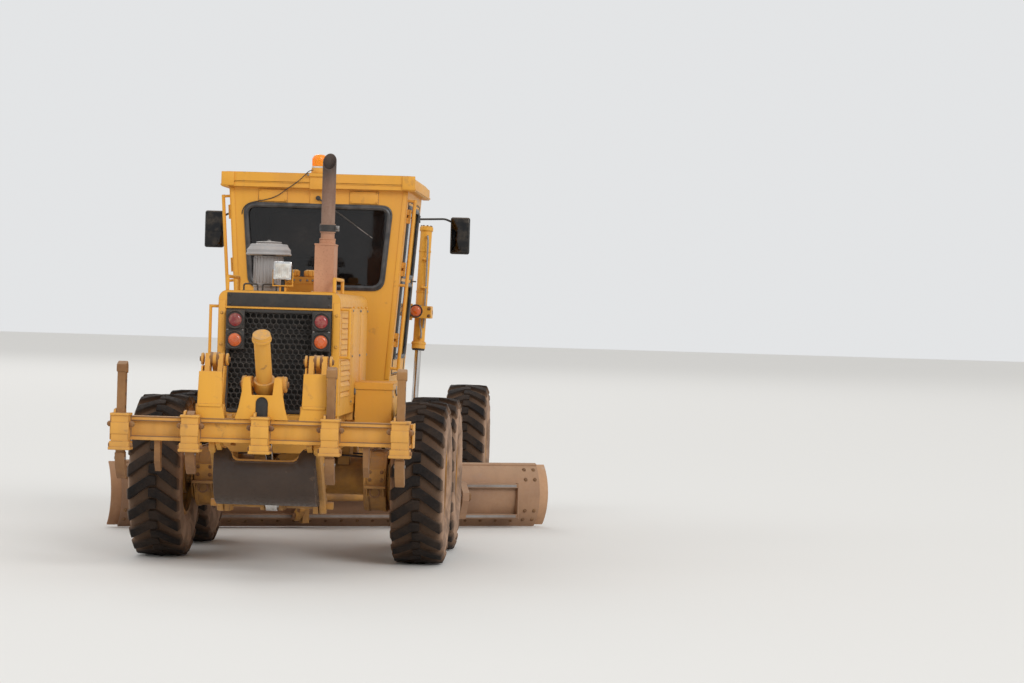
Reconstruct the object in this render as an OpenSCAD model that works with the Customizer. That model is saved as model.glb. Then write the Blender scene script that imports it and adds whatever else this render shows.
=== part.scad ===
// Motor grader with a rear ripper, articulated, six wheels.
// +Y is forward, +X is the machine's right, +Z is up, and the ground is z = 0.
// Lengths are millimetres.

/* [Wheels] */
// Outside diameter of a tyre over its lugs
tyre_od = 1350; // [1200:10:1500]
// Width of a tyre across its sidewalls
tyre_w = 445; // [360:5:500]
// Diameter of the rim's bead seat
rim_d = 636; // [560:2:700]
// Height of a tread lug
lug_h = 30; // [15:1:45]
// Lugs on each side of a tyre
lug_count = 21; // [12:1:24]
// Distance between the left and right wheel centres
track = 2160; // [2000:10:2400]
// Distance between the two rear wheels of one side
tandem_spacing = 1520; // [1450:10:1650]

/* [Layout] */
// Tandem centre to front axle
wheelbase = 6086; // [5800:1:6400]
// Tandem centre, behind the machine's middle
tandem_y = -1840; // [-2000:10:-1800]
// Tandem centre to the articulation pin
hinge_ahead = 900; // [800:10:1000]

/* [Rear frame and hood] */
// Half width over the two rear rails
rail_out = 420; // [400:5:470]
// Width of one rear rail
rail_w = 120; // [80:5:150]
// Underside of the rear rails
rail_z = 950; // [900:10:1000]
// Height of the rear rails
rail_h = 300; // [220:10:320]
// Middle of the exhaust, right of the machine's middle
exhaust_x = 335; // [250:5:360]
// Radius of the exhaust pipe
exhaust_r = 55; // [45:1:65]
// Half width of the hood
hood_half = 486; // [450:1:520]
// Top of the hood
hood_top = 2230; // [2100:10:2300]
// Thickness of the hood's panels
hood_wall = 40; // [20:5:60]
// Length of the hood
hood_len = 2350; // [2200:10:2380]
// Radius of the hood's upper edges
hood_edge_r = 70; // [30:5:120]
// Width of the rear grille
grille_w = 836; // [700:2:900]
// Height of the rear grille
grille_h = 820; // [700:10:850]
// Distance between the grille's holes
grille_pitch = 58; // [50:1:90]

/* [Tandems] */
// Half height of a tandem case
case_r = 253; // [220:1:280]
// Inner face of a tandem case
case_in = 612; // [580:2:640]
// Width of a tandem case
case_w = 203; // [150:1:220]
// Radius of a wheel spindle
spindle_r = 60; // [45:1:75]

/* [Ripper] */
// Width of the ripper beam
beam_w = 2300; // [2000:10:2500]
// Distance between shank holders
shank_pitch = 533; // [450:1:550]
// Height of the ripper beam
beam_h = 180; // [140:5:220]
// Depth of the ripper beam
beam_d = 190; // [120:5:220]

/* [Cab] */
// Height of the cab's underside
cab_z = 1450; // [1420:10:1500]
// Top of the cab's walls
cab_top = 3170; // [3050:10:3250]
// Half width of the cab at its underside
cab_base_half = 670; // [600:5:720]
// Half width of the cab at the top of its walls
cab_top_half = 795; // [740:5:840]
// Thickness of the cab's walls and doors
cab_wall = 50; // [35:5:70]
// Length of the cab
cab_len = 1650; // [1500:10:1750]
// Thickness of the cab's glass
glass_t = 8; // [5:1:12]
// Thickness of the roof
roof_t = 130; // [90:5:180]

/* [Front frame] */
// Width of the front frame's box beam
beam_x = 304; // [240:4:360]
// Radius of the articulation pin
pin_r = 45; // [35:1:60]
// Height where the blade lift cylinders hang in their yokes
trunnion_z = 2110; // [2050:10:2200]
// Outer radius of a lift cylinder's barrel
lift_r = 57; // [45:1:70]

/* [Blade] */
// Length of the blade
blade_len = 4267; // [3600:1:4300]
// Height of the blade over its cutting edge
blade_h = 600; // [540:10:660]
// Radius of the blade's curve
blade_r = 413; // [380:1:450]
// Thickness of the blade
blade_t = 22; // [16:1:30]
// Angle that the circle is turned to
blade_angle = 25; // [0:1:30]
// Outside diameter of the circle
circle_d = 1530; // [1400:10:1600]

/* [Hidden] */
$fn = 48;
fit = 0.05;
gap = 5;
seat = 0.3;
wheel_r = tyre_od / 2;
wheel_x = track / 2;
rim_r = rim_d / 2;
bead_x = 172;
lug_root = 38;
lug_end = 45;
front_y = tandem_y + wheelbase;
hinge_y = tandem_y + hinge_ahead;
case_out = case_in + case_w;
rail_top = rail_z + rail_h;
rail_in = rail_out - rail_w;
hood_rear = tandem_y - 2050;
hood_front = hood_rear + hood_len;
grille_z = rail_top + 12;
grille_web = 8;
grille_row = grille_pitch * sqrt(3) / 2;
grille_columns = floor((grille_w - 30) / grille_pitch);
grille_rows = floor((grille_h - 30) / grille_row);
plate_t = 40;
plate_y = hood_rear - plate_t - 10;
low_pin = [tandem_y - 2150, 550];
low_eye = [tandem_y - 2690, 1040];
high_pin = [tandem_y - 2200, 1200];
high_eye = [high_pin[0] + low_eye[0] - low_pin[0], high_pin[1] + low_eye[1] - low_pin[1]];
ripper_y = tandem_y - 2870;
ripper_z = 1150;
ripper_trunnion = [tandem_y - 2840, 1510];
cab_rear = tandem_y + 550;
cab_front = cab_rear + cab_len;
cab_flare = (cab_top_half - cab_base_half) / (cab_top - cab_z);
cab_slant = atan(cab_flare);
door_y0 = cab_rear + 150;
door_y1 = cab_front - 200;
door_z0 = cab_z + 90;
door_z1 = cab_top - 80;
roof_z = cab_top;
circle_y = tandem_y + round(wheelbase * 0.534);
circle_z = 715;
circle_t = 75;
circle_r = circle_d / 2;
drawbar_pin = [front_y - 536, 1050];
lift_y = circle_y + 100;
lift_x = 735;
ball = [695, lift_y - 80, 950];
lean_x = 640;
lean_z = 600;
king_x = 780;
bar_z = 815;
blade_z = 20;
blade_back = -200;
blade_side = -150;
end_bit = 100;
tip_y = -250;
tip_z = 120;
arm_x = 560;
shoe_r = 600;
arm_r = 52;
shift_y = -245;
shift_z = 313;
rail_back = -200;
slide_z = [95, 395];
paint = [0.86, 0.60, 0.20];
dark = [0.16, 0.16, 0.17];
steel = [0.45, 0.42, 0.40];
rust = [0.42, 0.26, 0.17];
chrome = [0.75, 0.75, 0.77];

// A block between two opposite corners.
module block(from, to) {
    translate(from) cube([to[0] - from[0], to[1] - from[1], to[2] - from[2]]);
}

// Cylinders along X and along Y, between two stations.
module bar_x(r, x0, x1, y, z) {
    translate([x0, y, z]) rotate([0, 90, 0]) cylinder(r = r, h = x1 - x0);
}
module bar_y(r, y0, y1, x, z) {
    translate([x, y1, z]) rotate([90, 0, 0]) cylinder(r = r, h = y1 - y0);
}

// A cylinder between two points.
module rod(r, from, to) {
    v = to - from;
    l = norm(v);
    translate(from)
        rotate([0, acos(v[2] / l), atan2(v[1], v[0])])
            cylinder(r = r, h = l);
}

// A side outline in (y, z), as thick as x0 to x1.
module side_plate(x0, x1) {
    translate([x0, 0, 0]) rotate([90, 0, 90]) linear_extrude(x1 - x0) children();
}

// A rear outline in (x, z), as long as y0 to y1.
module cross_plate(y0, y1) {
    translate([0, y1, 0]) rotate([90, 0, 0]) linear_extrude(y1 - y0) children();
}

// Both sides of the machine.
module both() {
    children();
    mirror([1, 0, 0]) children();
}

// A flat link with round ends between two (y, z) points.
module link_outline(a, b, r) {
    v = b - a;
    translate(a) circle(r);
    translate(b) circle(r);
    translate(a) rotate(atan2(v[1], v[0])) translate([0, -r]) square([norm(v), 2 * r]);
}

// Rear frame

module rear_frame() {
    color(paint) {
        difference() {
            union() {
                both() block([rail_in, plate_y + plate_t, rail_z], [rail_out, hinge_y - 500, rail_top]);
                block([-rail_out, plate_y, rail_z], [rail_out, plate_y + plate_t, rail_top]);
                both() for (y = [hood_rear + 30, tandem_y - 760, hood_front - 150])
                    block([rail_out, y, rail_top - 70], [hood_half - 4, y + 120, rail_top]);
                for (y = [tandem_y - 1200, tandem_y - 500])
                    block([-rail_in, y, rail_z + 40], [rail_in, y + 120, rail_top - 60]);
                block([-rail_out, hinge_y - 500, rail_z - 120], [rail_out, hinge_y - 300, rail_top]);
                for (z = [780, 1210]) {
                    block([-170, hinge_y - 300, z], [170, hinge_y, z + 60]);
                    translate([0, hinge_y, z]) cylinder(r = 170, h = 60);
                    block([-220, hinge_y - 340, min(z, rail_z - 130)], [220, hinge_y - 300, z + 60]);
                }
            }
            for (x = [-330, 330]) block([x - 20, plate_y - 1, 1000], [x + 20, plate_y + plate_t + 1, 1120]);
        }
        translate([0, hinge_y, 770]) cylinder(r = pin_r, h = 510);
        both() {
            side_plate(rail_in + 30, rail_in + 70) polygon([
                [plate_y + 20, rail_z + 30], [low_pin[0] - 70, low_pin[1] + 20],
                [low_pin[0] - 50, low_pin[1] - 65], [low_pin[0] + 190, low_pin[1] - 65],
                [plate_y + 320, rail_z + 30]]);
            side_plate(rail_in + 30, rail_in + 70) link_outline([plate_y + 30, high_pin[1] - 20], high_pin, 50);
            bar_x(28, rail_in + 30, rail_out + 40, high_pin[0], high_pin[1]);
            bar_x(30, rail_in + 30, rail_out + 65, low_pin[0], low_pin[1]);
        }
        for (x = [-90, 60]) side_plate(x, x + 30) link_outline(low_pin, low_pin + [150, 0], 50);
        bar_x(40, -rail_in - 40, rail_in + 40, low_pin[0] + 150, low_pin[1]);
    }
}

// The engine as a plain block, and the radiator behind the grille.
module engine() {
    color(dark) {
        block([-280, tandem_y - 1100, rail_top - 60], [280, tandem_y + 100, 2000]);
        block([-400, hood_rear + 90, rail_top], [400, hood_rear + 230, 2120]);
    }
}

// Hood: a shell on the rails, open below, with its rear face cut for the grille.
module hood_outline(inset) {
    h = hood_half - inset;
    r = hood_edge_r - inset;
    translate([-h, rail_top]) square([2 * h, hood_top - inset - rail_top - r]);
    translate([-h + r, rail_top]) square([2 * (h - r), hood_top - inset - rail_top]);
    for (s = [-1, 1]) translate([s * (h - r), hood_top - inset - r]) circle(r);
}

module hood() {
    color(paint)
    difference() {
        cross_plate(hood_rear, hood_front) hood_outline(0);
        cross_plate(hood_rear + hood_wall, hood_front - hood_wall)
            intersection() {
                hood_outline(hood_wall);
                translate([-hood_half, rail_top - 1]) square([2 * hood_half, hood_top]);
            }
        block([-hood_half + hood_wall, hood_rear + hood_wall, rail_top - 1],
              [hood_half - hood_wall, hood_front - hood_wall, rail_top + 60]);
        block([-grille_w / 2 - gap, hood_rear - 1, grille_z - gap],
              [grille_w / 2 + gap, hood_rear + hood_wall + 1, grille_z + grille_h + gap]);
        both() for (i = [0:8])
            block([hood_half - 15, hood_rear + 160, rail_top + 150 + i * 85],
                  [hood_half + 1, hood_rear + 900, rail_top + 190 + i * 85]);
    }
    // Header tank with its two caps, ahead of the air cleaner.
    color(paint) {
        block([-40, hood_rear + 620, hood_top - 5], [210, hood_rear + 900, hood_top + 130]);
        for (x = [20, 150])
            translate([x, hood_rear + 760, hood_top + 120]) cylinder(r = 36, h = 50);
    }
}

module grille() {
    color(dark)
    translate([0, hood_rear + 5, grille_z])
        cross_plate(0, 25) difference() {
            translate([-grille_w / 2 - gap + seat, -gap + seat])
                square([grille_w + 2 * (gap - seat), grille_h + 2 * (gap - seat)]);
            for (row = [0:grille_rows - 1], column = [0:grille_columns - 1 - row % 2])
                translate([(column - (grille_columns - 1 - row % 2) / 2) * grille_pitch,
                           grille_h / 2 + (row - (grille_rows - 1) / 2) * grille_row])
                    rotate(30) circle(r = (grille_pitch - grille_web) / sqrt(3), $fn = 6);
        }
}

module rear_lamps() {
    color(dark)
    both() {
        difference() {
            block([270, hood_rear - 45, grille_z + grille_h - 320], [415, hood_rear + 5 - seat, grille_z + grille_h - 10]);
            for (z = [-85, -245]) bar_y(66, hood_rear - 46, hood_rear - 25, 342, grille_z + grille_h + z);
        }
        for (z = [-85, -245]) bar_y(65.5, hood_rear - 38, hood_rear - 25 - seat, 342, grille_z + grille_h + z);
    }
    // Work lamp on its post.
    color(dark) {
        bar_y(64, hood_rear + 60, hood_rear + 130, 10, hood_top + 165);
        bar_y(48, hood_rear + 125, hood_rear + 160, 10, hood_top + 165);
        translate([10, hood_rear + 100, hood_top + seat]) cylinder(r = 16, h = 120);
    }
}

module exhaust() {
    color(rust)
    translate([exhaust_x, hood_rear + 300, hood_top]) {
        block([-85, -140, seat], [70, 140, 390]);
        translate([0, 0, seat]) cylinder(r = exhaust_r + 9, h = 425);
        translate([0, 0, 484]) cylinder(r = exhaust_r + 8, h = 72);
        difference() {
            translate([0, 0, 380]) cylinder(r = exhaust_r, h = 760);
            translate([0, 0, 700]) cylinder(r = exhaust_r - 6, h = 500);
            // The top is cut off at a slant and looks backwards.
            translate([0, 0, 1054]) rotate([52, 0, 0]) block([-100, -200, 0], [100, 200, 300]);
        }
    }
}

module air_cleaner() {
    color(steel)
    translate([-150, hood_rear + 420, hood_top + seat]) {
        cylinder(r = 115, h = 285);
        cylinder(r = 60, h = 380);
        translate([0, 0, 300])
            rotate_extrude() polygon([[0, 0], [175, 0], [178, 35], [150, 70], [90, 92], [0, 98]]);
    }
}

module hand_rails() {
    color(paint)
    both() {
        for (y = [hood_rear + 60, hood_rear + 700])
            rod(14, [hood_half - 60, y, hood_top + seat], [hood_half - 60, y, hood_top + 110]);
        bar_y(14, hood_rear + 60, hood_rear + 700, hood_half - 60, hood_top + 110);
        for (z = [1720, 2100])
            bar_x(12, hood_half + seat, hood_half + 70, hood_rear + 60, z);
        rod(12, [hood_half + 70, hood_rear + 60, 1708], [hood_half + 70, hood_rear + 60, 2112]);
    }
}

module side_boxes() {
    color(paint)
    both() {
        block([rail_out + seat, tandem_y - 700, 1100], [500, tandem_y - 100, 1180]);
        difference() {
            block([500, tandem_y - 750, 1100], [810, tandem_y - 50, 1490]);
            block([499, tandem_y - 751, 1400], [506, tandem_y - 49, 1408]);
        }
        block([495, tandem_y - 758, 1440], [818, tandem_y - 42, 1496]);
    }
}

module rear_axle() {
    color(paint) {
        bar_x(165, -case_in + 30, case_in - 30, tandem_y, wheel_r);
        both() bar_x(245, case_in - 60, case_in - seat, tandem_y, wheel_r);
        bar_x(270, -170, 170, tandem_y, wheel_r);
        bar_y(140, tandem_y, tandem_y + 480, 0, wheel_r);
        both() block([rail_in + 10, tandem_y - 170, wheel_r + 100], [rail_out - 10, tandem_y + 170, rail_z]);
    }
}

module case_outline(r) {
    for (s = [-1, 1]) translate([tandem_y + s * tandem_spacing / 2, wheel_r]) circle(r);
    translate([tandem_y - tandem_spacing / 2, wheel_r - r]) square([tandem_spacing, 2 * r]);
}

module tandem() {
    color(paint) {
        side_plate(case_in, case_out - 15) case_outline(case_r - 8);
        for (x = [case_in + 20, case_out - 45]) side_plate(x, x + 28) case_outline(case_r);
        for (s = [-1, 1]) {
            y = tandem_y + s * tandem_spacing / 2;
            bar_x(150, case_out - 20, case_out + 20, y, wheel_r);
            bar_x(spindle_r, case_out, wheel_x + 60, y, wheel_r);
        }
    }
}

// Wheels: the axis is X, the outer side is +X, and the middle is the origin.

// Half the carcass's section: distance from the axis, and from the tyre's middle.
module tyre_section() {
    wall = wheel_r - lug_h;
    half = [
        [rim_r + seat, bead_x], [(wheel_r + rim_r) / 2 - 30, tyre_w / 2],
        [wall - 45, tyre_w / 2 - 10], [wall, tyre_w / 2 - 45]];
    polygon(concat(half, [for (i = [len(half) - 1:-1:0]) [half[i][0], -half[i][1]]]));
}

// One slanted tread bar, from past the middle of the tread to its right shoulder.
module lug() {
    slant = tyre_w * 0.14;
    reach = slant + lug_end;
    translate([0, 0, wheel_r - lug_h - 40])
        linear_extrude(sqrt(wheel_r * wheel_r - reach * reach) - wheel_r + lug_h + 40)
            polygon([[-15, slant - lug_root], [-15, slant + lug_root],
                     [tyre_w / 2 - 25, lug_end - slant], [tyre_w / 2 - 25, -lug_end - slant]]);
}

module tyre() {
    pitch = 360 / lug_count;
    color(dark) {
        rotate([0, 90, 0]) rotate_extrude($fn = 96) tyre_section();
        for (i = [0:lug_count - 1]) {
            rotate([i * pitch, 0, 0]) lug();
            rotate([(i + 0.5) * pitch, 0, 0]) mirror([1, 0, 0]) lug();
        }
    }
}

module rim() {
    half = 178;
    color(paint)
    difference() {
        rotate([0, 90, 0]) rotate_extrude($fn = 72) {
            translate([rim_r - 16, -half]) square([16, 2 * half]);
            for (z = [-half - 12, half]) translate([rim_r - 16, z]) square([26, 12]);
            translate([0, 30]) square([rim_r - 8, 24]);
            translate([0, -190]) square([150, 225]);
            translate([0, 30]) square([175, 50]);
            translate([0, 30]) square([110, 90]);
        }
        bar_x(spindle_r + fit, -191, 65, 0, 0);
        for (i = [0:7]) rotate([i * 45 + 22.5, 0, 0]) bar_x(26, 20, 60, 232, 0);
    }
}

// place_wheel(side, y): side is 1 for the right and -1 for the left.
module place_wheel(side, y) {
    translate([side * wheel_x, y, wheel_r]) mirror([side > 0 ? 0 : 1, 0, 0]) children();
}

// Ripper

module ripper_lower_link() {
    color(dark)
    difference() {
        union() {
            both() side_plate(rail_in + 85, rail_in + 125) link_outline(low_pin, low_eye, 60);
            both() side_plate(rail_in + 80, rail_in + 130) {
                translate(low_pin) circle(65);
                translate(low_eye) circle(65);
            }
            side_plate(-rail_in - 90, rail_in + 90)
                polygon([low_eye + [40, -60], low_eye + [60, -35], [low_pin[0] - 120, low_pin[1] + 50],
                         [low_pin[0] - 130, low_pin[1] + 5], [low_pin[0] - 300, low_pin[1] + 50],
                         [low_eye[0] + 50, low_eye[1] - 250]]);
        }
        both() bar_x(30 + fit, rail_in, rail_out + 80, low_pin[0], low_pin[1]);
        both() bar_x(28 + fit, rail_in, rail_out + 80, low_eye[0], low_eye[1]);
        block([-330, low_eye[0] - 100, low_eye[1] - 150], [330, low_eye[0] + 130, low_eye[1] + 100]);
    }
}

module ripper_upper_links() {
    color(paint)
    both() difference() {
        side_plate(rail_in + 80, rail_in + 120) link_outline(high_pin, high_eye, 50);
        bar_x(28 + fit, rail_in, rail_out + 80, high_pin[0], high_pin[1]);
        bar_x(28 + fit, rail_in, rail_out + 80, high_eye[0], high_eye[1]);
    }
}

module ripper_beam() {
    half = beam_w / 2;
    z0 = ripper_z - beam_h / 2;
    color(paint) {
        difference() {
            block([-half, ripper_y - beam_d / 2, z0], [half, ripper_y + beam_d / 2, z0 + beam_h]);
            both() block([30, ripper_y - beam_d / 2 - 1, z0 + 30], [half + 1, ripper_y - beam_d / 2 + 30, z0 + beam_h - 30]);
        }
        // Shank holders and their lower collars.
        for (i = [-2:2]) difference() {
            union() {
                block([i * shank_pitch - 65, ripper_y - beam_d / 2 - 110, z0 - 20],
                      [i * shank_pitch + 65, ripper_y - beam_d / 2 + 40, z0 + beam_h + 20]);
                block([i * shank_pitch - 75, ripper_y - beam_d / 2 - 120, z0 - 70],
                      [i * shank_pitch + 75, ripper_y - beam_d / 2 + 40, z0 - 10]);
            }
            block([i * shank_pitch - 30 - seat, ripper_y - beam_d / 2 - 90 - seat, z0 - 71],
                  [i * shank_pitch + 30 + seat, ripper_y - beam_d / 2 - 1 + seat, z0 + beam_h + 21]);
        }
        // Towers for the upper links, with their pins.
        both() {
            for (x = [rail_in + 30, rail_in + 130])
                side_plate(x, x + 40) polygon([
                    [ripper_y - 60, z0 + beam_h], [ripper_y + 90, z0 + beam_h],
                    high_eye + [55, -20], high_eye + [40, 45], high_eye + [-40, 45], high_eye + [-60, -20]]);
            bar_x(28, rail_in + 30, rail_in + 170, high_eye[0], high_eye[1]);
            side_plate(rail_in + 15, rail_in + 185) polygon([
                [ripper_y - 85, z0 + beam_h], [ripper_y - 50, z0 + beam_h],
                high_eye + [-55, -90], high_eye + [-75, -90]]);
            side_plate(rail_in - 10, rail_in + 210) polygon([
                [ripper_y - 93, z0 + beam_h - 1], [ripper_y - 55, z0 + beam_h - 1],
                [ripper_y - 45, z0 + beam_h + 110], [ripper_y - 75, z0 + beam_h + 110]]);
            side_plate(rail_in + 30, rail_in + 70) polygon([
                [ripper_y + 60, z0 + 120], [ripper_y + 60, z0 - 20], low_eye + [-30, -50], low_eye + [45, -20],
                low_eye + [45, 30], [ripper_y + 120, z0 + 120]]);
            bar_x(28, rail_in + 30, rail_in + 135, low_eye[0], low_eye[1]);
        }
        // Centre tower: two cheeks that carry the cylinder's trunnion.
        difference() {
            for (x = [-135, 95])
                side_plate(x, x + 40) polygon([
                    [ripper_y - 90, z0 + beam_h], [ripper_y + 90, z0 + beam_h],
                    ripper_trunnion + [70, -30], ripper_trunnion + [50, 60],
                    ripper_trunnion + [-50, 60], ripper_trunnion + [-80, -30]]);
            bar_x(26 + fit, -140, 140, ripper_trunnion[0], ripper_trunnion[1]);
        }
        difference() {
            block([-100, ripper_y - 95, z0 + beam_h], [100, ripper_y - 65, ripper_trunnion[1] - 110]);
            translate([0, 0, z0 + beam_h + 100]) bar_y(70, ripper_y - 96, ripper_y - 64, 0, 0);
        }
    }
}

module shank(x, z_top, z_tip) {
    y1 = ripper_y - beam_d / 2 - 1;
    side_plate(x - 30, x + 30) polygon([
        [y1 - 89, z_top], [y1 - 20, z_top + 25], [y1, z_top - 10], [y1, z_tip + 160],
        [y1 + 60, z_tip + 20], [y1 + 20, z_tip], [y1 - 60, z_tip + 90], [y1 - 89, z_tip + 220]]);
}

module ripper_shanks() {
    z0 = ripper_z - beam_h / 2;
    color(rust) {
        for (i = [-2, 1, 2]) shank(i * shank_pitch, 1630, 770);
        shank(-shank_pitch, z0 + beam_h + 30, 820);
        for (x = [-1.5, 1.5] * shank_pitch)
            side_plate(x - 22, x + 22) polygon([
                [ripper_y - 60, z0 - seat], [ripper_y + 40, z0 - seat], [ripper_y + 30, 900],
                [ripper_y + 60, 830], [ripper_y + 20, 820], [ripper_y - 50, 900]]);
    }
}

// The ripper's cylinder, along the line from its trunnion to the frame.
ripper_reach = norm(ripper_trunnion - low_pin);
ripper_tilt = atan2(low_pin[0] - ripper_trunnion[0], ripper_trunnion[1] - low_pin[1]);
module along_ripper() {
    translate([0, ripper_trunnion[0], ripper_trunnion[1]]) rotate([ripper_tilt, 0, 0]) children();
}

module ripper_cylinder() {
    color(paint)
    along_ripper() difference() {
        union() {
            translate([0, 0, -200]) cylinder(r = 62, h = 640);
            translate([0, 0, -45]) cylinder(r = 82, h = 90);
            translate([0, 0, -230]) cylinder(r = 70, h = 50);
            translate([0, 0, 430]) cylinder(r = 68, h = 40);
            bar_x(26, -120, 120, 0, 0);
        }
        translate([0, 0, -231]) cylinder(r = 30 + fit, h = 620);
    }
}

module ripper_rod() {
    color(chrome)
    along_ripper() {
        translate([0, 0, -ripper_reach + 40]) cylinder(r = 30, h = ripper_reach - 40 - 140);
        bar_x(55, -45, 45, 0, -ripper_reach);
        bar_x(26, -54, 54, 0, -ripper_reach);
    }
}

// Front frame

module front_frame() {
    h = beam_x / 2;
    color(paint) {
        side_plate(-h, h) polygon([
            [hinge_y + 180, cab_z - 10], [cab_front + 20, cab_z - 10], [cab_front + 220, 1960],
            [lift_y + 300, 2010], [front_y - 500, 1480], [front_y + 560, 1380],
            [front_y + 560, 1010], [front_y + 260, 960], [front_y - 280, 960],
            [front_y - 340, 1150], [front_y - 700, 1185], [lift_y + 400, 1690],
            [cab_front + 420, 1620], [cab_front + 330, 1500], [cab_front + 60, 1100],
            [cab_front - 200, 980], [hinge_y + 180, 900]]);
        // Hitch block, round behind its pin.
        difference() {
            union() {
                block([-150, hinge_y, 845], [150, hinge_y + 185, 1205]);
                translate([0, hinge_y, 845]) cylinder(r = 150, h = 360);
            }
            translate([0, hinge_y, 844]) cylinder(r = pin_r + fit, h = 362);
        }
        // Cab carriers.
        block([-cab_base_half + 60, cab_rear + 60, cab_z - 45], [cab_base_half - 60, cab_front - 60, cab_z]);
        for (y = [hinge_y + 200, cab_front - 260])
            block([-cab_base_half + 60, y, cab_z - 130], [cab_base_half - 60, y + 120, cab_z - 40]);
        // Nose.
        difference() {
            union() {
                block([-260, front_y + 560, 900], [260, front_y + 620, 1400]);
                for (s = [-1, 1]) block([s * 60 - 15, front_y + 610, 960], [s * 60 + 15, front_y + 700, 1080]);
            }
            bar_x(20, -80, 80, front_y + 660, 1020);
            for (x = [-220, 220], z = [950, 1350]) bar_y(13, front_y + 555, front_y + 625, x, z);
        }
        // Front axle's hanger and its pin.
        for (y = [front_y - 170, front_y + 130])
            block([-120, y, 800], [120, y + 40, 970]);
        bar_y(51 - fit, front_y - 170, front_y + 170, 0, 860);
        // Drawbar's socket.
        both() side_plate(45, 85) link_outline([drawbar_pin[0] + 20, drawbar_pin[1] + 180], drawbar_pin, 60);
        bar_x(30, -85, 85, drawbar_pin[0], drawbar_pin[1]);
    }
}

module lift_saddle() {
    color(paint) {
        block([-230, lift_y - 150, 2012], [230, lift_y + 150, 2120]);
        both() {
            block([beam_x / 2 + seat, lift_y - 110, 1780], [beam_x / 2 + 60, lift_y + 110, 2120]);
            side_plate(230, lift_x - lift_r - 18) polygon([
                [lift_y - 220, 2030], [lift_y - 100, 2030], [lift_y - 60, 2190], [lift_y - 220, 2190]]);
            for (x = [lift_x - lift_r - 58, lift_x + lift_r + 18])
                side_plate(x, x + 40) difference() {
                    link_outline([lift_y - 160, trunnion_z], [lift_y, trunnion_z], 60);
                    translate([lift_y, trunnion_z]) circle(24 + fit);
                }
            block([lift_x - lift_r - 58, lift_y - 220, trunnion_z - 60], [lift_x + lift_r + 58, lift_y - 150, trunnion_z + 60]);
            // Turn lamp, facing back.
            bar_y(62, lift_y - 265, lift_y - 219, lift_x - 30, trunnion_z + 10);
        }
    }
}

// Blade lift cylinders, a little closer together at the blade than at the top.
lift_drop = [lift_x, lift_y, trunnion_z] - ball;
lift_reach = norm(lift_drop);
lift_lean = atan(lift_drop[0] / lift_drop[2]);
lift_rake = -asin(lift_drop[1] / lift_reach);
module along_lift() {
    translate([lift_x, lift_y, trunnion_z]) rotate([lift_rake, lift_lean, 0]) children();
}
module lift_cylinder() {
    color(paint)
    difference() {
        union() {
            along_lift() {
                translate([0, 0, -320]) cylinder(r = lift_r, h = 1120);
                translate([0, 0, -360]) cylinder(r = lift_r + 10, h = 70);
                translate([0, 0, 800]) cylinder(r = lift_r + 8, h = 40);
                translate([0, 0, -45]) cylinder(r = lift_r + 9, h = 90);
            }
            bar_x(24, lift_x - lift_r - 50, lift_x + lift_r + 50, lift_y, trunnion_z);
        }
        along_lift() translate([0, 0, -361]) cylinder(r = 32 + fit, h = 1120);
    }
}
module lift_rod() {
    color(chrome)
    along_lift() {
        translate([0, 0, -lift_reach + 40]) cylinder(r = 32, h = lift_reach - 40 + 290);
        translate([0, 0, -lift_reach]) sphere(r = 62);
        bar_x(22, -90, 0, 0, -lift_reach);
    }
}

// Cab

function cab_half(z) = cab_base_half + (z - cab_z) * cab_flare;

module cab_outline(inset) {
    z0 = cab_z + inset;
    z1 = cab_top - inset;
    polygon([[-cab_half(z0) + inset, z0], [cab_half(z0) - inset, z0],
             [cab_half(z1) - inset, z1], [-cab_half(z1) + inset, z1]]);
}

// An opening with round corners, between (x0, z0) and (x1, z1).
module round_window(x0, z0, x1, z1, r) {
    translate([x0 + r, z0]) square([x1 - x0 - 2 * r, z1 - z0]);
    translate([x0, z0 + r]) square([x1 - x0, z1 - z0 - 2 * r]);
    for (x = [x0 + r, x1 - r], z = [z0 + r, z1 - r]) translate([x, z]) circle(r);
}

// A window whose sides slant in downwards: half its width at the top, and its lower and upper edges.
module cab_window(half, z0, z1, r) {
    foot = half - (z1 - z0) * tan(window_slant);
    c0 = [foot - r, z0 + r];
    c1 = [half - r, z1 - r];
    side = r * [cos(window_slant), -sin(window_slant)];
    for (s = [0, 1]) mirror([s, 0]) {
        translate(c0) circle(r);
        translate(c1) circle(r);
        polygon([[0, z0], [c0[0], z0], c0 + side, c1 + side, [c1[0], z1], [0, z1]]);
    }
}

window_slant = 5.2;
window_half = 640;
rear_window_z = [2304, 3010];
front_window_z = [2250, 3010];
foot_window = [[230, 1620], [560, 2170]];

module cab_windows(grow) {
    cross_plate(cab_rear - 10, cab_rear + cab_wall + 10)
        cab_window(window_half + grow, rear_window_z[0] - grow, rear_window_z[1] + grow, 90 + grow);
    cross_plate(cab_front - cab_wall - 10, cab_front + 10) {
        cab_window(window_half + grow, front_window_z[0] - grow, front_window_z[1] + grow, 90 + grow);
        for (s = [0, 1]) mirror([s, 0])
            round_window(foot_window[0][0] - grow, foot_window[0][1] - grow, foot_window[1][0] + grow, foot_window[1][1] + grow, 50 + grow);
    }
}

module door_hole(grow) {
    block([cab_base_half - 200, door_y0 - grow, door_z0 - 1.8 * grow],
          [cab_top_half + 100, door_y1 + 1.6 * grow, door_z1 + grow]);
}

module cab() {
    color(paint) {
        difference() {
            cross_plate(cab_rear, cab_front) cab_outline(0);
            cross_plate(cab_rear + cab_wall, cab_front - cab_wall) cab_outline(cab_wall);
            cab_windows(0);
            both() door_hole(gap);
        }
        both() at_hinges() {
            for (z = [-62, 12.2]) translate([20, 0, z]) cylinder(r = 16, h = 50);
            translate([20, 0, -62]) cylinder(r = 8, h = 124);
            for (z = [-62, 12.2]) block([-2, -40, z], [20, -4, z + 50]);
        }
    }
}

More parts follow.
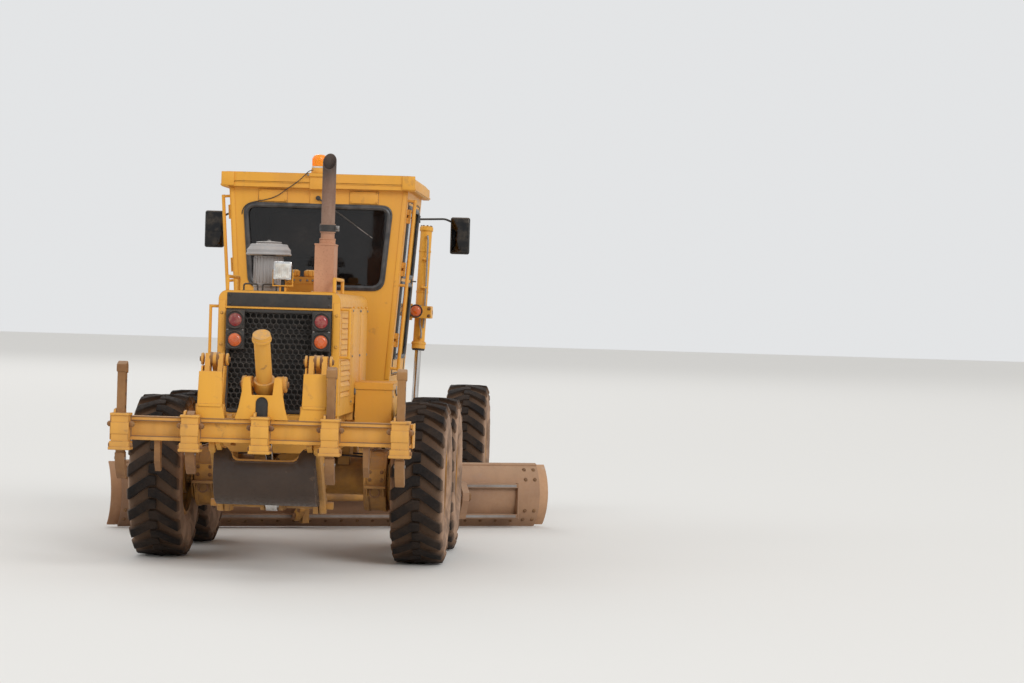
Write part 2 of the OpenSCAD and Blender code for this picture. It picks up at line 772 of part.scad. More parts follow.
module at_hinges() {
    for (z = [1850, 2480, 2950])
        translate([cab_half(z), door_y0 - 12, z]) rotate([0, cab_slant, 0]) children();
}

module door() {
    color(paint) {
        difference() {
            intersection() {
                difference() {
                    cross_plate(cab_rear, cab_front) cab_outline(0);
                    cross_plate(cab_rear - 1, cab_front + 1) cab_outline(cab_wall);
                }
                door_hole(0);
            }
            door_windows(0);
        }
        at_hinges() {
            difference() {
                union() {
                    translate([20, 0, -11.8]) cylinder(r = 16, h = 23.6);
                    block([4, 0, -11.8], [20, 60, 11.8]);
                    block([-2, 20, -11.8], [5, 60, 11.8]);
                }
                translate([20, 0, -12]) cylinder(r = 8 + fit, h = 24);
            }
        }
    }
}

door_upper = [[door_y0 + 70, 2430], [door_y1 - 70, 3030]];
door_lower = [[door_y0 + 70, 1700], [door_y1 - 70, 2350]];
module door_windows(grow) {
    for (w = [door_upper, door_lower])
        side_plate(cab_base_half - 200, cab_top_half + 100)
            round_window(w[0][0] - grow, w[0][1] - grow, w[1][0] + grow, w[1][1] + grow, 60 + grow);
}

module door_glass() {
    color([0.2, 0.24, 0.26])
    intersection() {
        difference() {
            cross_plate(cab_rear, cab_front) cab_outline(20);
            cross_plate(cab_rear - 1, cab_front + 1) cab_outline(20 + glass_t);
        }
        block([0, door_y0, cab_z + 100], [1000, door_y1, cab_top - 100]);
        door_windows(-seat);
    }
}

module cab_glass() {
    color([0.2, 0.24, 0.26]) {
        intersection() {
            cab_windows(-seat);
            union() {
                block([-1000, cab_rear + 20, cab_z], [1000, cab_rear + 20 + glass_t, cab_top]);
                block([-1000, cab_front - 20 - glass_t, cab_z], [1000, cab_front - 20, cab_top]);
            }
        }
    }
}

module cab_roof() {
    color(paint)
    difference() {
        cross_plate(cab_rear - 60, cab_front + 150) polygon([
            [-855, roof_z], [855, roof_z], [855, roof_z + roof_t - 40], [815, roof_z + roof_t],
            [-815, roof_z + roof_t], [-855, roof_z + roof_t - 40]]);
        block([-870, cab_rear - 80, roof_z + 40], [870, cab_rear - 50, roof_z + 50]);
    }
    // Two work lamps under the front edge.
    color(paint)
    both() {
        bar_y(62, cab_front + 60, cab_front + 130, 600, roof_z - 75);
        block([585, cab_front + 80, roof_z - 40], [615, cab_front + 110, roof_z + 10]);
    }
}

module seat() {
    floor_z = cab_z + cab_wall;
    y = cab_rear + 520;
    color(dark) {
        translate([0, y, floor_z]) cylinder(r = 120, h = 300);
        block([-270, y - 260, floor_z + 300], [270, y + 260, floor_z + 440]);
        translate([0, y - 250, floor_z + 400]) rotate([8, 0, 0]) block([-260, -60, 0], [260, 60, 720]);
    }
}

module controls() {
    floor_z = cab_z + cab_wall;
    y = cab_front - 420;
    color(dark) {
        block([-90, y - 110, floor_z], [90, y + 90, floor_z + 40]);
        translate([0, y, floor_z]) rotate([12, 0, 0]) {
            block([-60, -70, 25], [60, 70, 760]);
            block([-260, -50, 620], [260, 30, 700]);
        }
    }
}

module mirrors() {
    color(dark)
    both() {
        block([cab_half(3000) + seat, cab_front - 80, 2960], [cab_half(3000) + 25, cab_front - 40, 3000]);
        rod(12, [cab_half(3000) + 20, cab_front - 60, 2980], [1080, cab_front + 60, 3000]);
        rod(12, [1080, cab_front + 60, 3000], [1165, cab_front + 60, 2960]);
        block([1070, cab_front + 30, 2660], [1260, cab_front + 80, 3016]);
    }
}

module beacon() {
    color("orange")
    translate([0, cab_rear + 30, roof_z + roof_t + seat]) {
        cylinder(r = 75, h = 40);
        translate([0, 0, 30]) cylinder(r = 62, h = 110);
        translate([0, 0, 110]) intersection() {
            sphere(r = 62);
            block([-70, -70, 0], [70, 70, 70]);
        }
    }
}

module steps() {
    color(dark)
    both() {
        for (y = [cab_front - 360, cab_front - 60])
            block([cab_base_half - 55, y - 8, 1215], [cab_base_half - 25, y + 8, cab_z - seat]);
        block([cab_base_half - 110, cab_front - 370, 1200], [cab_base_half + 90, cab_front - 50, 1225]);
        // Grab rail behind each door, square to the slanted wall.
        translate([cab_half(1600), cab_rear + 60, 1600]) rotate([0, cab_slant, 0]) {
            translate([65, 0, -14]) cylinder(r = 15, h = 1518);
            for (z = [0, 740, 1490]) bar_x(12, seat, 65, 0, z);
        }
    }
}

// Front axle and its leaning, steering ends

module front_axle() {
    color(paint)
    difference() {
        union() {
            cross_plate(front_y - 110, front_y + 110) polygon([
                [-150, 940], [150, 940], [420, 800], [lean_x - 90, 690], [lean_x - 90, 545], [420, 600],
                [200, 690], [-200, 690], [-420, 600], [-lean_x + 90, 545], [-lean_x + 90, 690], [-420, 800]]);
            both() bar_y(42, front_y - 55, front_y + 55, lean_x, lean_z);
            both() block([lean_x - 100, front_y - 55, lean_z - 42], [lean_x, front_y + 55, lean_z + 42]);
        }
        both() bar_y(26 + fit, front_y - 120, front_y + 120, lean_x, lean_z);
        bar_y(51, front_y - 120, front_y + 120, 0, 860);
    }
}

module lean_knuckle() {
    color(paint) {
        bar_y(26, front_y - 105, front_y + 105, lean_x, lean_z);
        for (y = [front_y - 105, front_y + 65])
            cross_plate(y, y + 40) {
                translate([lean_x, lean_z]) circle(62);
                polygon([[lean_x - 55, lean_z + 30], [lean_x - 30, 850], [lean_x + 20, 850],
                         [lean_x + 72, 760], [lean_x + 72, 540], [lean_x + 30, 540]]);
            }
        block([lean_x + 48, front_y - 105, 520], [lean_x + 72, front_y + 105, 800]);
        for (z = [480, 790]) {
            block([lean_x + 48, front_y - 65, z], [king_x, front_y + 65, z + 45]);
            translate([king_x, front_y, z]) cylinder(r = 65, h = 45);
        }
        bar_y(22, front_y - 105, front_y + 235, lean_x, bar_z);
        translate([king_x, front_y, 470]) cylinder(r = 28, h = 375);
    }
}

// The bar that makes both ends lean together.
module lean_bar() {
    color(paint)
    difference() {
        union() {
            block([-lean_x, front_y + 185, bar_z - 22], [lean_x, front_y + 225, bar_z + 22]);
            both() bar_y(34, front_y + 185, front_y + 225, lean_x, bar_z);
        }
        both() bar_y(22 + fit, front_y + 180, front_y + 230, lean_x, bar_z);
    }
}

module steer_knuckle() {
    color(paint)
    difference() {
        union() {
            translate([king_x, front_y, 530]) cylinder(r = 62, h = 255);
            bar_x(78, king_x, king_x + 95, front_y, wheel_r);
            bar_x(spindle_r, king_x + 50, wheel_x + 60, front_y, wheel_r);
        }
        translate([king_x, front_y, 529]) cylinder(r = 28 + fit, h = 257);
    }
}

// Drawbar, circle and blade

module drawbar() {
    z0 = circle_z + circle_t + gap;
    color(paint) {
        difference() {
            union() {
                translate([0, circle_y, z0]) cylinder(r = circle_r - 60, h = 40, $fn = 72);
                // Two arms that meet at the ball.
                both() rod(arm_r, [520, circle_y + 350, z0 + 70], [62, drawbar_pin[0] - 180, drawbar_pin[1]]);
                block([-130, drawbar_pin[0] - 240, drawbar_pin[1] - 60], [130, drawbar_pin[0] - 90, drawbar_pin[1] + 60]);
                block([-39, drawbar_pin[0] - 100, drawbar_pin[1] - 55], [39, drawbar_pin[0], drawbar_pin[1] + 55]);
                bar_x(55, -39, 39, drawbar_pin[0], drawbar_pin[1]);
                // Yoke to the lift rods.
                block([-580, ball[1] - 90, z0], [580, ball[1] + 90, z0 + 150]);
                both() block([520, ball[1] - 60, z0], [580, ball[1] + 60, ball[2] + 60]);
            }
            translate([0, circle_y, z0 - 1]) cylinder(r = circle_r - 330, h = 42, $fn = 72);
            bar_x(30 + fit, -50, 50, drawbar_pin[0], drawbar_pin[1]);
        }
        // Shoes that hold the circle by its inner edge.
        for (a = [0:60:300]) translate([0, circle_y, 0]) rotate([0, 0, a]) {
            block([shoe_r, -60, circle_z - 28], [circle_r - 125, 60, z0 + 1]);
            block([shoe_r, -60, circle_z - 28], [circle_r - 110, 60, circle_z - seat]);
        }
        // Turning motor.
        translate([0, circle_y + circle_r - 260, z0 + 30]) {
            cylinder(r = 120, h = 110);
            cylinder(r = 70, h = 220);
        }
    }
}

// Circle and what hangs from it, in the blade's own direction.
module turned() {
    translate([0, circle_y, 0]) rotate([0, 0, blade_angle]) children();
}
module at_blade(side = 0) {
    turned() translate([side, blade_back, 0]) children();
}

module circle_ring() {
    color(paint) {
        turned() difference() {
            translate([0, 0, circle_z]) cylinder(r = circle_r, h = circle_t, $fn = 96);
            translate([0, 0, circle_z - 1]) cylinder(r = circle_r - 120, h = circle_t + 2, $fn = 96);
        }
        at_blade() both() {
            side_plate(arm_x, arm_x + 50) {
                link_outline([tip_y, tip_z], [-375, 200], 44);
                polygon([[-330, circle_z + 20], [-150, circle_z + 20], [-150, circle_z - 50], [-270, 610],
                         [-320, 420], [-320, 200], [-350, 165], [-415, 175], [-430, 420], [-430, 600]]);
            }
            bar_x(30, arm_x - 85, arm_x + 50, tip_y, tip_z);
        }
        at_blade() bar_x(60, -arm_x - 10, arm_x + 10, -375, 560);
    }
}

module blade_outline(t0, t1) {
    a = asin((blade_h / 2) / blade_r);
    reach = 2 * blade_r;
    centre = [blade_r * cos(a), blade_z + blade_h / 2];
    intersection() {
        translate(centre) difference() {
            circle(blade_r + t1, $fn = 96);
            circle(blade_r + t0, $fn = 96);
        }
        polygon([centre, centre + reach * [-cos(a), -sin(a)], centre + reach * [-1, 0], centre + reach * [-cos(a), sin(a)]]);
    }
}

module blade() {
    half = blade_len / 2;
    color(paint)
    at_blade(blade_side) {
        side_plate(-half, half) blade_outline(0, blade_t);
        // Slide rails along the back.
        for (z = slide_z)
            block([-half + 260, rail_back, z], [half - 260, z > 300 ? -135 : -100, z + 40]);
        // Bracket for the side shift rod.
        difference() {
            side_plate(1250, 1320) polygon([
                [-120, 80], [-125, 460], [-210, 445], [shift_y - 50, shift_z + 40],
                [shift_y - 50, shift_z - 40], [-210, 90]]);
            bar_x(25, 1249, 1321, shift_y, shift_z);
        }
    }
}

module side_shift_rod() {
    color(chrome)
    at_blade(blade_side) bar_x(25 - seat, -5, 1310, shift_y, shift_z);
}

module cutting_edge() {
    half = blade_len / 2;
    color(rust)
    at_blade(blade_side) {
        intersection() {
            side_plate(-half + 205, half - 205) blade_outline(-18, -seat);
            block([-half, -400, 0], [half, 400, blade_z + 190]);
        }
        both() side_plate(half - 200, half + end_bit) blade_outline(-14, -seat);
    }
}

module blade_mount() {
    color(paint)
    at_blade() difference() {
        union() {
            both() side_plate(arm_x - 80, arm_x - 15) {
                difference() {
                    polygon([[tip_y - 50, 55], [rail_back + 35, 55], [rail_back + 35, 480], [tip_y - 40, 480],
                             [tip_y - 60, 380]]);
                    for (z = slide_z) translate([rail_back - seat, z - seat]) square([36, 40 + 2 * seat]);
                    translate([rail_back + 12, 175]) square([30, 180]);
                }
            }
            bar_x(48, -arm_x + 10, 695, shift_y, shift_z);
            bar_x(56, 650, 705, shift_y, shift_z);
        }
        bar_x(25 + fit - seat, -arm_x + 30, 710, shift_y, shift_z);
        both() bar_x(30 + fit, arm_x - 90, arm_x, tip_y, tip_z);
    }
}

// Drawn pieces by name.
rear_frame();
engine();
hood();
grille();
rear_lamps();
exhaust();
air_cleaner();
hand_rails();
side_boxes();
rear_axle();
both() tandem();  // tandems
ripper_lower_link();
ripper_upper_links();
ripper_beam();
ripper_shanks();
ripper_cylinder();
ripper_rod();
front_frame();
lift_saddle();
cab();
cab_roof();
cab_glass();
seat();
controls();
mirrors();
beacon();
steps();
mirror([1, 0, 0]) door();  // door_left
mirror([1, 0, 0]) door_glass();  // door_left_glass
door();  // door_right
door_glass();  // door_right_glass
front_axle();
mirror([1, 0, 0]) lean_knuckle();  // lean_left
lean_knuckle();  // lean_right
lean_bar();
mirror([1, 0, 0]) steer_knuckle();  // steer_left
steer_knuckle();  // steer_right
drawbar();
circle_ring();  // circle
blade_mount();
blade();
cutting_edge();
side_shift_rod();
mirror([1, 0, 0]) lift_cylinder();  // lift_cylinder_left
lift_cylinder();  // lift_cylinder_right
mirror([1, 0, 0]) lift_rod();  // lift_rod_left
lift_rod();  // lift_rod_right
place_wheel(-1, tandem_y - tandem_spacing / 2) tyre();  // tyre_rear_left
place_wheel(1, tandem_y - tandem_spacing / 2) tyre();  // tyre_rear_right
place_wheel(-1, tandem_y + tandem_spacing / 2) tyre();  // tyre_mid_left
place_wheel(1, tandem_y + tandem_spacing / 2) tyre();  // tyre_mid_right
place_wheel(-1, front_y) tyre();  // tyre_front_left
place_wheel(1, front_y) tyre();  // tyre_front_right
place_wheel(-1, tandem_y - tandem_spacing / 2) rim();  // rim_rear_left
place_wheel(1, tandem_y - tandem_spacing / 2) rim();  // rim_rear_right
place_wheel(-1, tandem_y + tandem_spacing / 2) rim();  // rim_mid_left
place_wheel(1, tandem_y + tandem_spacing / 2) rim();  // rim_mid_right
place_wheel(-1, front_y) rim();  // rim_front_left
place_wheel(1, front_y) rim();  // rim_front_right
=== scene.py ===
"""A six-wheeled motor grader with a rear ripper: its looks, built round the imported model.

Lengths are metres. +Y is forward, +X is the machine's right, and the ground is z = 0.
"""

import math

import bpy
from mathutils import Matrix, Vector


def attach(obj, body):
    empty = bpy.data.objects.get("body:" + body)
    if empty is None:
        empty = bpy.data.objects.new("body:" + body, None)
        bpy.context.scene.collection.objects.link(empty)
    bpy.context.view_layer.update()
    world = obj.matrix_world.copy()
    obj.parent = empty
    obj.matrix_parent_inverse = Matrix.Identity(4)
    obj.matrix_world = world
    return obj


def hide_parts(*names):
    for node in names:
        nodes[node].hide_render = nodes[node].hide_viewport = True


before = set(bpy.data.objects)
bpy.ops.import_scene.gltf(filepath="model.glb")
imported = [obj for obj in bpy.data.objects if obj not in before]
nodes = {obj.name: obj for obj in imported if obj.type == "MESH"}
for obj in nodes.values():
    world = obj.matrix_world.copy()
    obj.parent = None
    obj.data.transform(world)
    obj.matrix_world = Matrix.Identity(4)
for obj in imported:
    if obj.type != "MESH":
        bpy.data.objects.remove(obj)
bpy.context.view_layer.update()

# The photographer's place: on the road behind the machine, a little to its right,
# with a long lens, and the camera tipped slightly to its left.
def added(name, data):
    """A new object round this mesh, curve, lamp or camera."""
    piece = bpy.data.objects.new(name, data)
    bpy.context.scene.collection.objects.link(piece)
    return piece


eye = Vector((2.729, -26.19, 2.05))
yaw, pitch, roll = math.radians(2.25), math.radians(-0.416), math.radians(1.7)
camera = added("camera", bpy.data.cameras.new("camera"))
camera.data.lens = 99.25
camera.data.clip_end = 400
camera.location = eye
camera.rotation_euler = (
    Matrix.Rotation(yaw, 3, "Z") @ Matrix.Rotation(math.pi / 2 + pitch, 3, "X") @ Matrix.Rotation(roll, 3, "Z")
).to_euler()
bpy.context.scene.camera = camera
bpy.context.scene.view_settings.view_transform = "Standard"

# A plain pale studio floor under an even white sky, with one broad lamp high on the
# right and a weaker one on the left, as on a bright day under thin cloud.
bpy.ops.mesh.primitive_plane_add(size=400)
floor = bpy.context.object
floor.name = "studio_floor"
floor_paint = bpy.data.materials.new("studio_floor")
floor_paint.use_nodes = True
floor_shader = floor_paint.node_tree.nodes["Principled BSDF"]
floor_shader.inputs["Base Color"].default_value = (0.73, 0.725, 0.71, 1)
floor_shader.inputs["Roughness"].default_value = 0.9
floor.data.materials.append(floor_paint)


def node_of(tree, kind, values=(), **settings):
    """A new node of this kind, with these settings and input values."""
    made = tree.nodes.new(kind)
    for key, value in settings.items():
        setattr(made, key, value)
    for key, value in dict(values).items():
        made.inputs[key].default_value = value
    return made


sky = bpy.data.worlds.new("sky")
bpy.context.scene.world = sky
sky.use_nodes = True
tree = sky.node_tree
tree.nodes.clear()
rays = node_of(tree, "ShaderNodeLightPath").outputs
seen = node_of(tree, "ShaderNodeMath", operation="MAXIMUM")
seen_or_glossy = node_of(tree, "ShaderNodeMath", operation="MAXIMUM")
day = node_of(tree, "ShaderNodeBackground", {"Color": (1, 0.99, 0.97, 1), "Strength": 0.84})
backdrop = node_of(tree, "ShaderNodeBackground", {"Color": (0.77, 0.78, 0.79, 1), "Strength": 1})
both_skies = node_of(tree, "ShaderNodeMixShader")
sky_out = node_of(tree, "ShaderNodeOutputWorld")
for source, socket in (
    (rays["Is Camera Ray"], seen.inputs[0]), (rays["Is Transmission Ray"], seen.inputs[1]),
    (seen.outputs[0], seen_or_glossy.inputs[0]), (rays["Is Glossy Ray"], seen_or_glossy.inputs[1]),
    (seen_or_glossy.outputs[0], both_skies.inputs[0]), (day.outputs[0], both_skies.inputs[1]),
    (backdrop.outputs[0], both_skies.inputs[2]), (both_skies.outputs[0], sky_out.inputs["Surface"]),
):
    tree.links.new(source, socket)
for name, place, size, power in (
    ("lamp_right", (48, -66, 48), 34, 27000),
    ("lamp_left", (-60, -35, 45), 30, 5000),
    ("lamp_front", (-25, 70, 50), 30, 8000),
):
    lamp = added(name, bpy.data.lights.new(name, "AREA"))
    lamp.data.size = size
    lamp.data.energy = power
    lamp.location = place
    lamp.rotation_euler = (-Vector(place)).to_track_quat("-Z", "Y").to_euler()


# The machine's own coat: ochre yellow enamel over plate steel, faded, dusty where it
# faces up, brown with road dirt low down, and worn to rusty metal along its edges.
def blank(name):
    """A new material, its node tree, its shader and the place on the surface."""
    made = bpy.data.materials.new(name)
    made.use_nodes = True
    tree = made.node_tree
    return made, tree, tree.nodes["Principled BSDF"], node_of(tree, "ShaderNodeTexCoord").outputs["Object"]


def fed(tree, socket, value):
    """The socket gets a fixed value, or a link from a node's output."""
    if isinstance(value, (int, float, tuple)):
        socket.default_value = value
    else:
        tree.links.new(value, socket)


def stepped(tree, source, low, high, to_low=0.0, to_high=1.0):
    """source between low and high, drawn out smoothly to to_low and to_high."""
    ramp = node_of(tree, "ShaderNodeMapRange",
                   {"From Min": low, "From Max": high, "To Min": to_low, "To Max": to_high},
                   interpolation_type="SMOOTHSTEP")
    tree.links.new(source, ramp.inputs["Value"])
    return ramp.outputs["Result"]


def times(tree, a, b):
    product = node_of(tree, "ShaderNodeMath", operation="MULTIPLY")
    for socket, value in zip(product.inputs, (a, b)):
        fed(tree, socket, value)
    return product.outputs[0]


def mixed(tree, share, under, over):
    """The colour over covers this share of the colour under."""
    mix = node_of(tree, "ShaderNodeMix", data_type="RGBA")
    for socket, value in ((mix.inputs[0], share), (mix.inputs[6], under), (mix.inputs[7], over)):
        fed(tree, socket, value)
    return mix.outputs[2]


def speckle(tree, place, scale, detail=4.0, stretch=(1, 1, 1), offset=(0, 0, 0)):
    """Cloudy noise over the surface, from 0 to 1."""
    mapping = node_of(tree, "ShaderNodeMapping", {"Scale": stretch, "Location": offset})
    tree.links.new(place, mapping.inputs["Vector"])
    grain = node_of(tree, "ShaderNodeTexNoise", {"Scale": scale, "Detail": detail, "Roughness": 0.6})
    tree.links.new(mapping.outputs[0], grain.inputs["Vector"])
    return grain.outputs["Fac"]


def coat(name, colour, faded, dust=(0.40, 0.27, 0.17), dusty=0.5, dirt=(0.16, 0.085, 0.045), dirty=0.7,
         worn=(0.20, 0.10, 0.055), wear=0.8, rough=0.42, metal=0.0, grain=0.10, low=(1.35, 0.35)):
    """A weathered finish. dusty, dirty and wear say how much dust, low dirt and edge wear it has."""
    made, tree, shader, place = blank(name)
    face = node_of(tree, "ShaderNodeNewGeometry").outputs["Normal"]
    rounded = node_of(tree, "ShaderNodeBevel", {"Radius": 0.007}, samples=4).outputs["Normal"]
    broad = stepped(tree, speckle(tree, place, 1.1, 5), 0.36, 0.66)
    streaks = stepped(tree, speckle(tree, place, 1.5, 5, (5, 5, 0.5)), 0.45, 0.75)
    fine = speckle(tree, place, 34, 6, offset=(3, 1, 2))
    tint = mixed(tree, times(tree, broad, 0.7), (*colour, 1), (*faded, 1))
    tint = mixed(tree, times(tree, streaks, 0.28 * dusty), tint, (*dirt, 1))
    spots = stepped(tree, speckle(tree, place, 7, 8, offset=(5, 2, 7)), 0.63, 0.70)
    tint = mixed(tree, times(tree, spots, 0.55 * wear), tint, (*worn, 1))
    split = node_of(tree, "ShaderNodeSeparateXYZ")
    tree.links.new(face, split.inputs[0])
    upward = stepped(tree, split.outputs["Z"], 0.25, 0.9)
    dust_share = times(tree, times(tree, upward, stepped(tree, fine, 0.25, 0.72)), dusty)
    tint = mixed(tree, dust_share, tint, (*dust, 1))
    height = node_of(tree, "ShaderNodeSeparateXYZ")
    tree.links.new(place, height.inputs[0])
    lowness = stepped(tree, height.outputs["Z"], low[0], low[1])
    patches = stepped(tree, speckle(tree, place, 3.2, 8, offset=(1, 8, 4)), 0.30, 0.66, 0.25, 1)
    tint = mixed(tree, times(tree, times(tree, lowness, patches), dirty), tint, (*dirt, 1))
    edge = node_of(tree, "ShaderNodeVectorMath", operation="DOT_PRODUCT")
    tree.links.new(face, edge.inputs[0])
    tree.links.new(rounded, edge.inputs[1])
    chips = times(tree, stepped(tree, edge.outputs["Value"], 0.985, 0.88),
                  stepped(tree, speckle(tree, place, 16, 6), 0.42, 0.60))
    tint = mixed(tree, times(tree, chips, wear), tint, (*worn, 1))
    tree.links.new(tint, shader.inputs["Base Color"])
    shader.inputs["Metallic"].default_value = metal
    tree.links.new(stepped(tree, fine, 0.2, 0.8, rough - 0.06, min(0.95, rough + 0.28)), shader.inputs["Roughness"])
    bump = node_of(tree, "ShaderNodeBump", {"Strength": grain, "Distance": 0.004})
    tree.links.new(fine, bump.inputs["Height"])
    tree.links.new(rounded, bump.inputs["Normal"])
    tree.links.new(bump.outputs[0], shader.inputs["Normal"])
    return made


def dressed(names, material):
    """The drawn solids of these names take this finish."""
    for name in names:
        mesh = nodes[name].data
        mesh.materials.clear()
        mesh.materials.append(material)


sides = (("left", -1), ("right", 1))
yellow = coat("yellow_paint", (0.73, 0.350, 0.032), (0.69, 0.318, 0.050), dusty=0.35, dirty=0.45, wear=0.45)
dirty_yellow = coat("dirty_yellow_paint", (0.70, 0.345, 0.050), (0.58, 0.285, 0.068), dusty=0.75, dirty=0.75,
                    wear=0.95, rough=0.55, grain=0.2, low=(1.15, 0.65))
dressed(["hood", "cab", "cab_roof", "door_left", "door_right", "side_boxes", "hand_rails",
         "front_frame", "lift_saddle", "steps", "lift_cylinder_left", "lift_cylinder_right"], yellow)
dressed(["rear_frame", "rear_axle", "tandems", "ripper_beam", "ripper_upper_links", "ripper_cylinder",
         "front_axle", "lean_left", "lean_right", "lean_bar", "steer_left", "steer_right", "drawbar",
         "circle", "blade_mount", "blade"], dirty_yellow)
dressed([f"rim_{end}_{name}" for end in ("rear", "mid", "front") for name, _ in sides], dirty_yellow)

# Unpainted and black parts: rusty ripper shanks and cutting edges, the black engine,
# radiator and steps, the ripper link dark with dirt and painted shade, and the polished rods
# of the hydraulic cylinders.
rusty = coat("rusty_steel", (0.17, 0.075, 0.030), (0.40, 0.205, 0.070), dust=(0.45, 0.30, 0.19), dusty=0.6,
             worn=(0.42, 0.25, 0.11), wear=0.8, rough=0.66, metal=0.1, grain=0.5)
black = coat("black_paint", (0.022, 0.021, 0.020), (0.045, 0.040, 0.036), dust=(0.24, 0.17, 0.115), dusty=0.6,
             dirt=(0.11, 0.065, 0.038), dirty=0.8, worn=(0.16, 0.12, 0.09), wear=0.4, rough=0.5)
# The link's dark brown is partly road dirt and partly painted shade: it hangs in shadow under the machine.
dirt_and_shade = coat("dirt_and_shade_plate", (0.042, 0.022, 0.012), (0.024, 0.014, 0.009), dust=(0.20, 0.13, 0.08), dusty=0.5,
             dirt=(0.075, 0.040, 0.022), dirty=0.5, worn=(0.20, 0.115, 0.060), wear=0.9, rough=0.34, grain=0.25)
dressed(["ripper_shanks", "cutting_edge"], rusty)
dressed(["engine", "grille", "rear_lamps", "controls"], black)
dressed(["ripper_lower_link"], dirt_and_shade)

polished, tree, shader, place = blank("polished_rod")
scratches = speckle(tree, place, 40, 4, (1, 1, 0.05))
tree.links.new(mixed(tree, stepped(tree, scratches, 0.3, 0.75), (0.62, 0.61, 0.60, 1), (0.42, 0.38, 0.34, 1)),
               shader.inputs["Base Color"])
tree.links.new(stepped(tree, scratches, 0.3, 0.8, 0.16, 0.36), shader.inputs["Roughness"])
shader.inputs["Metallic"].default_value = 1
dressed(["ripper_rod", "lift_rod_left", "lift_rod_right", "side_shift_rod"], polished)

# The beacon's cable: a thin round black flex. It leaves the beacon's foot, runs down
# the cab's rear wall and goes into the cab through the left rear post.
def patchy(name, scale, detail, clean, grimy, rough, share=(0.35, 0.75), metal=0.0):
    """A plain finish with grimy patches. rough is its roughness where it is clean and where it is grimy."""
    made, tree, shader, place = blank(name)
    grime = stepped(tree, speckle(tree, place, scale, detail), *share)
    tree.links.new(mixed(tree, grime, (*clean, 1), (*grimy, 1)), shader.inputs["Base Color"])
    tree.links.new(stepped(tree, grime, 0, 1, *rough), shader.inputs["Roughness"])
    shader.inputs["Metallic"].default_value = metal
    return made


def run_through(curve, kind, points):
    """A spline of this kind through points, on the curve."""
    spline = curve.splines.new(kind)
    spline.points.add(len(points) - 1)
    for knot, p in zip(spline.points, points):
        knot.co = (*p, 1)
    return spline


cable_black = patchy("cable_black", 60, 4, (0.018, 0.018, 0.019), (0.060, 0.054, 0.050), (0.40, 0.65))
ends = [Vector(p) for p in (
    (-0.050, -1.340, 3.330), (-0.074, -1.366, 3.326), (-0.100, -1.377, 3.302), (-0.135, -1.374, 3.262),
    (-0.180, -1.370, 3.222), (-0.230, -1.366, 3.185), (-0.285, -1.350, 3.150), (-0.335, -1.322, 3.112),
    (-0.390, -1.308, 3.082), (-0.450, -1.305, 3.062), (-0.520, -1.305, 3.048), (-0.580, -1.305, 3.036),
    (-0.630, -1.304, 3.018), (-0.662, -1.302, 2.985), (-0.673, -1.300, 2.950), (-0.676, -1.288, 2.925),
)]
cable_curve = bpy.data.curves.new("beacon_cable", "CURVE")
cable_curve.dimensions = "3D"
cable_curve.bevel_depth, cable_curve.bevel_resolution, cable_curve.use_fill_caps = 0.004, 4, True
cable_run = run_through(cable_curve, "NURBS", ends)
cable_run.use_endpoint_u = True
cable_run.order_u = 4
cable_run.resolution_u = 8
cable_curve.materials.append(cable_black)
cable = added("beacon_cable", cable_curve)
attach(cable, "front")

# Six bias-ply grader tyres with deep traction lugs: 21 slanted bars on each side,
# meeting in a point that leads upward at the back. Black rubber darkened with painted shade,
# brown dust between.
tyre_r, rim_r, lug_h = 0.675, 0.318, 0.034
lug_count = 21
wheel_x = 1.08
wheel_y = {"rear": -2.6, "mid": -1.08, "front": 4.246}


def clear():
    bpy.ops.object.select_all(action="DESELECT")


def chosen(piece):
    clear()
    piece.select_set(True)
    bpy.context.view_layer.objects.active = piece
    return piece


def settled(piece):
    """The piece's place goes into its mesh, so that its object sits at the origin."""
    chosen(piece)
    bpy.ops.object.transform_apply(location=True, rotation=True, scale=True)
    return piece


def finished(piece, kind, **settings):
    """A modifier of this kind, set and applied."""
    chosen(piece)
    modifier = piece.modifiers.new("finish", kind)
    for key, value in settings.items():
        setattr(modifier, key, value)
    bpy.ops.object.modifier_apply(modifier=modifier.name)
    return piece


def eased(piece, width, segments=2, angle=30):
    """Rounds off the piece's sharp edges."""
    return finished(piece, "BEVEL", width=width, segments=segments, angle_limit=math.radians(angle))


def facing_out(piece):
    """All the piece's faces point outwards."""
    chosen(piece)
    bpy.ops.object.mode_set(mode="EDIT")
    bpy.ops.mesh.select_all(action="SELECT")
    bpy.ops.mesh.normals_make_consistent(inside=False)
    bpy.ops.object.mode_set(mode="OBJECT")


def gathered(name, parts):
    """Several parts become one piece."""
    chosen(parts[0])
    for part in parts:
        part.select_set(True)
    if len(parts) > 1:
        bpy.ops.object.join()
    parts[0].name = name
    parts[0].data.name = name
    return parts[0]


def copied(piece, matrix):
    other = piece.copy()
    other.data = piece.data.copy()
    other.data.transform(matrix)
    bpy.context.scene.collection.objects.link(other)
    return other


def mounted(piece, body, smooth=35):
    """The finished piece rides on its body."""
    settled(piece)
    bpy.ops.object.shade_smooth_by_angle(angle=math.radians(smooth))
    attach(piece, body)
    return piece


def spun(profile, finish, steps=64, axis="X"):
    """A (radius, along) outline turned once round an axis through the origin."""
    mesh = bpy.data.meshes.new("spun")
    rows = [(along, 0, radius) if axis == "X" else (radius, 0, along) for radius, along in profile]
    mesh.from_pydata(rows, [(i, i + 1) for i in range(len(rows) - 1)], [])
    piece = chosen(added("spun", mesh))
    bpy.ops.object.mode_set(mode="EDIT")
    bpy.ops.mesh.select_all(action="SELECT")
    bpy.ops.mesh.spin(steps=steps, angle=2 * math.pi, center=(0, 0, 0), axis=(1, 0, 0) if axis == "X" else (0, 0, 1))
    bpy.ops.mesh.select_all(action="SELECT")
    bpy.ops.mesh.remove_doubles(threshold=0.0002)
    bpy.ops.mesh.normals_make_consistent(inside=False)
    bpy.ops.object.mode_set(mode="OBJECT")
    piece.data.materials.append(finish)
    return piece


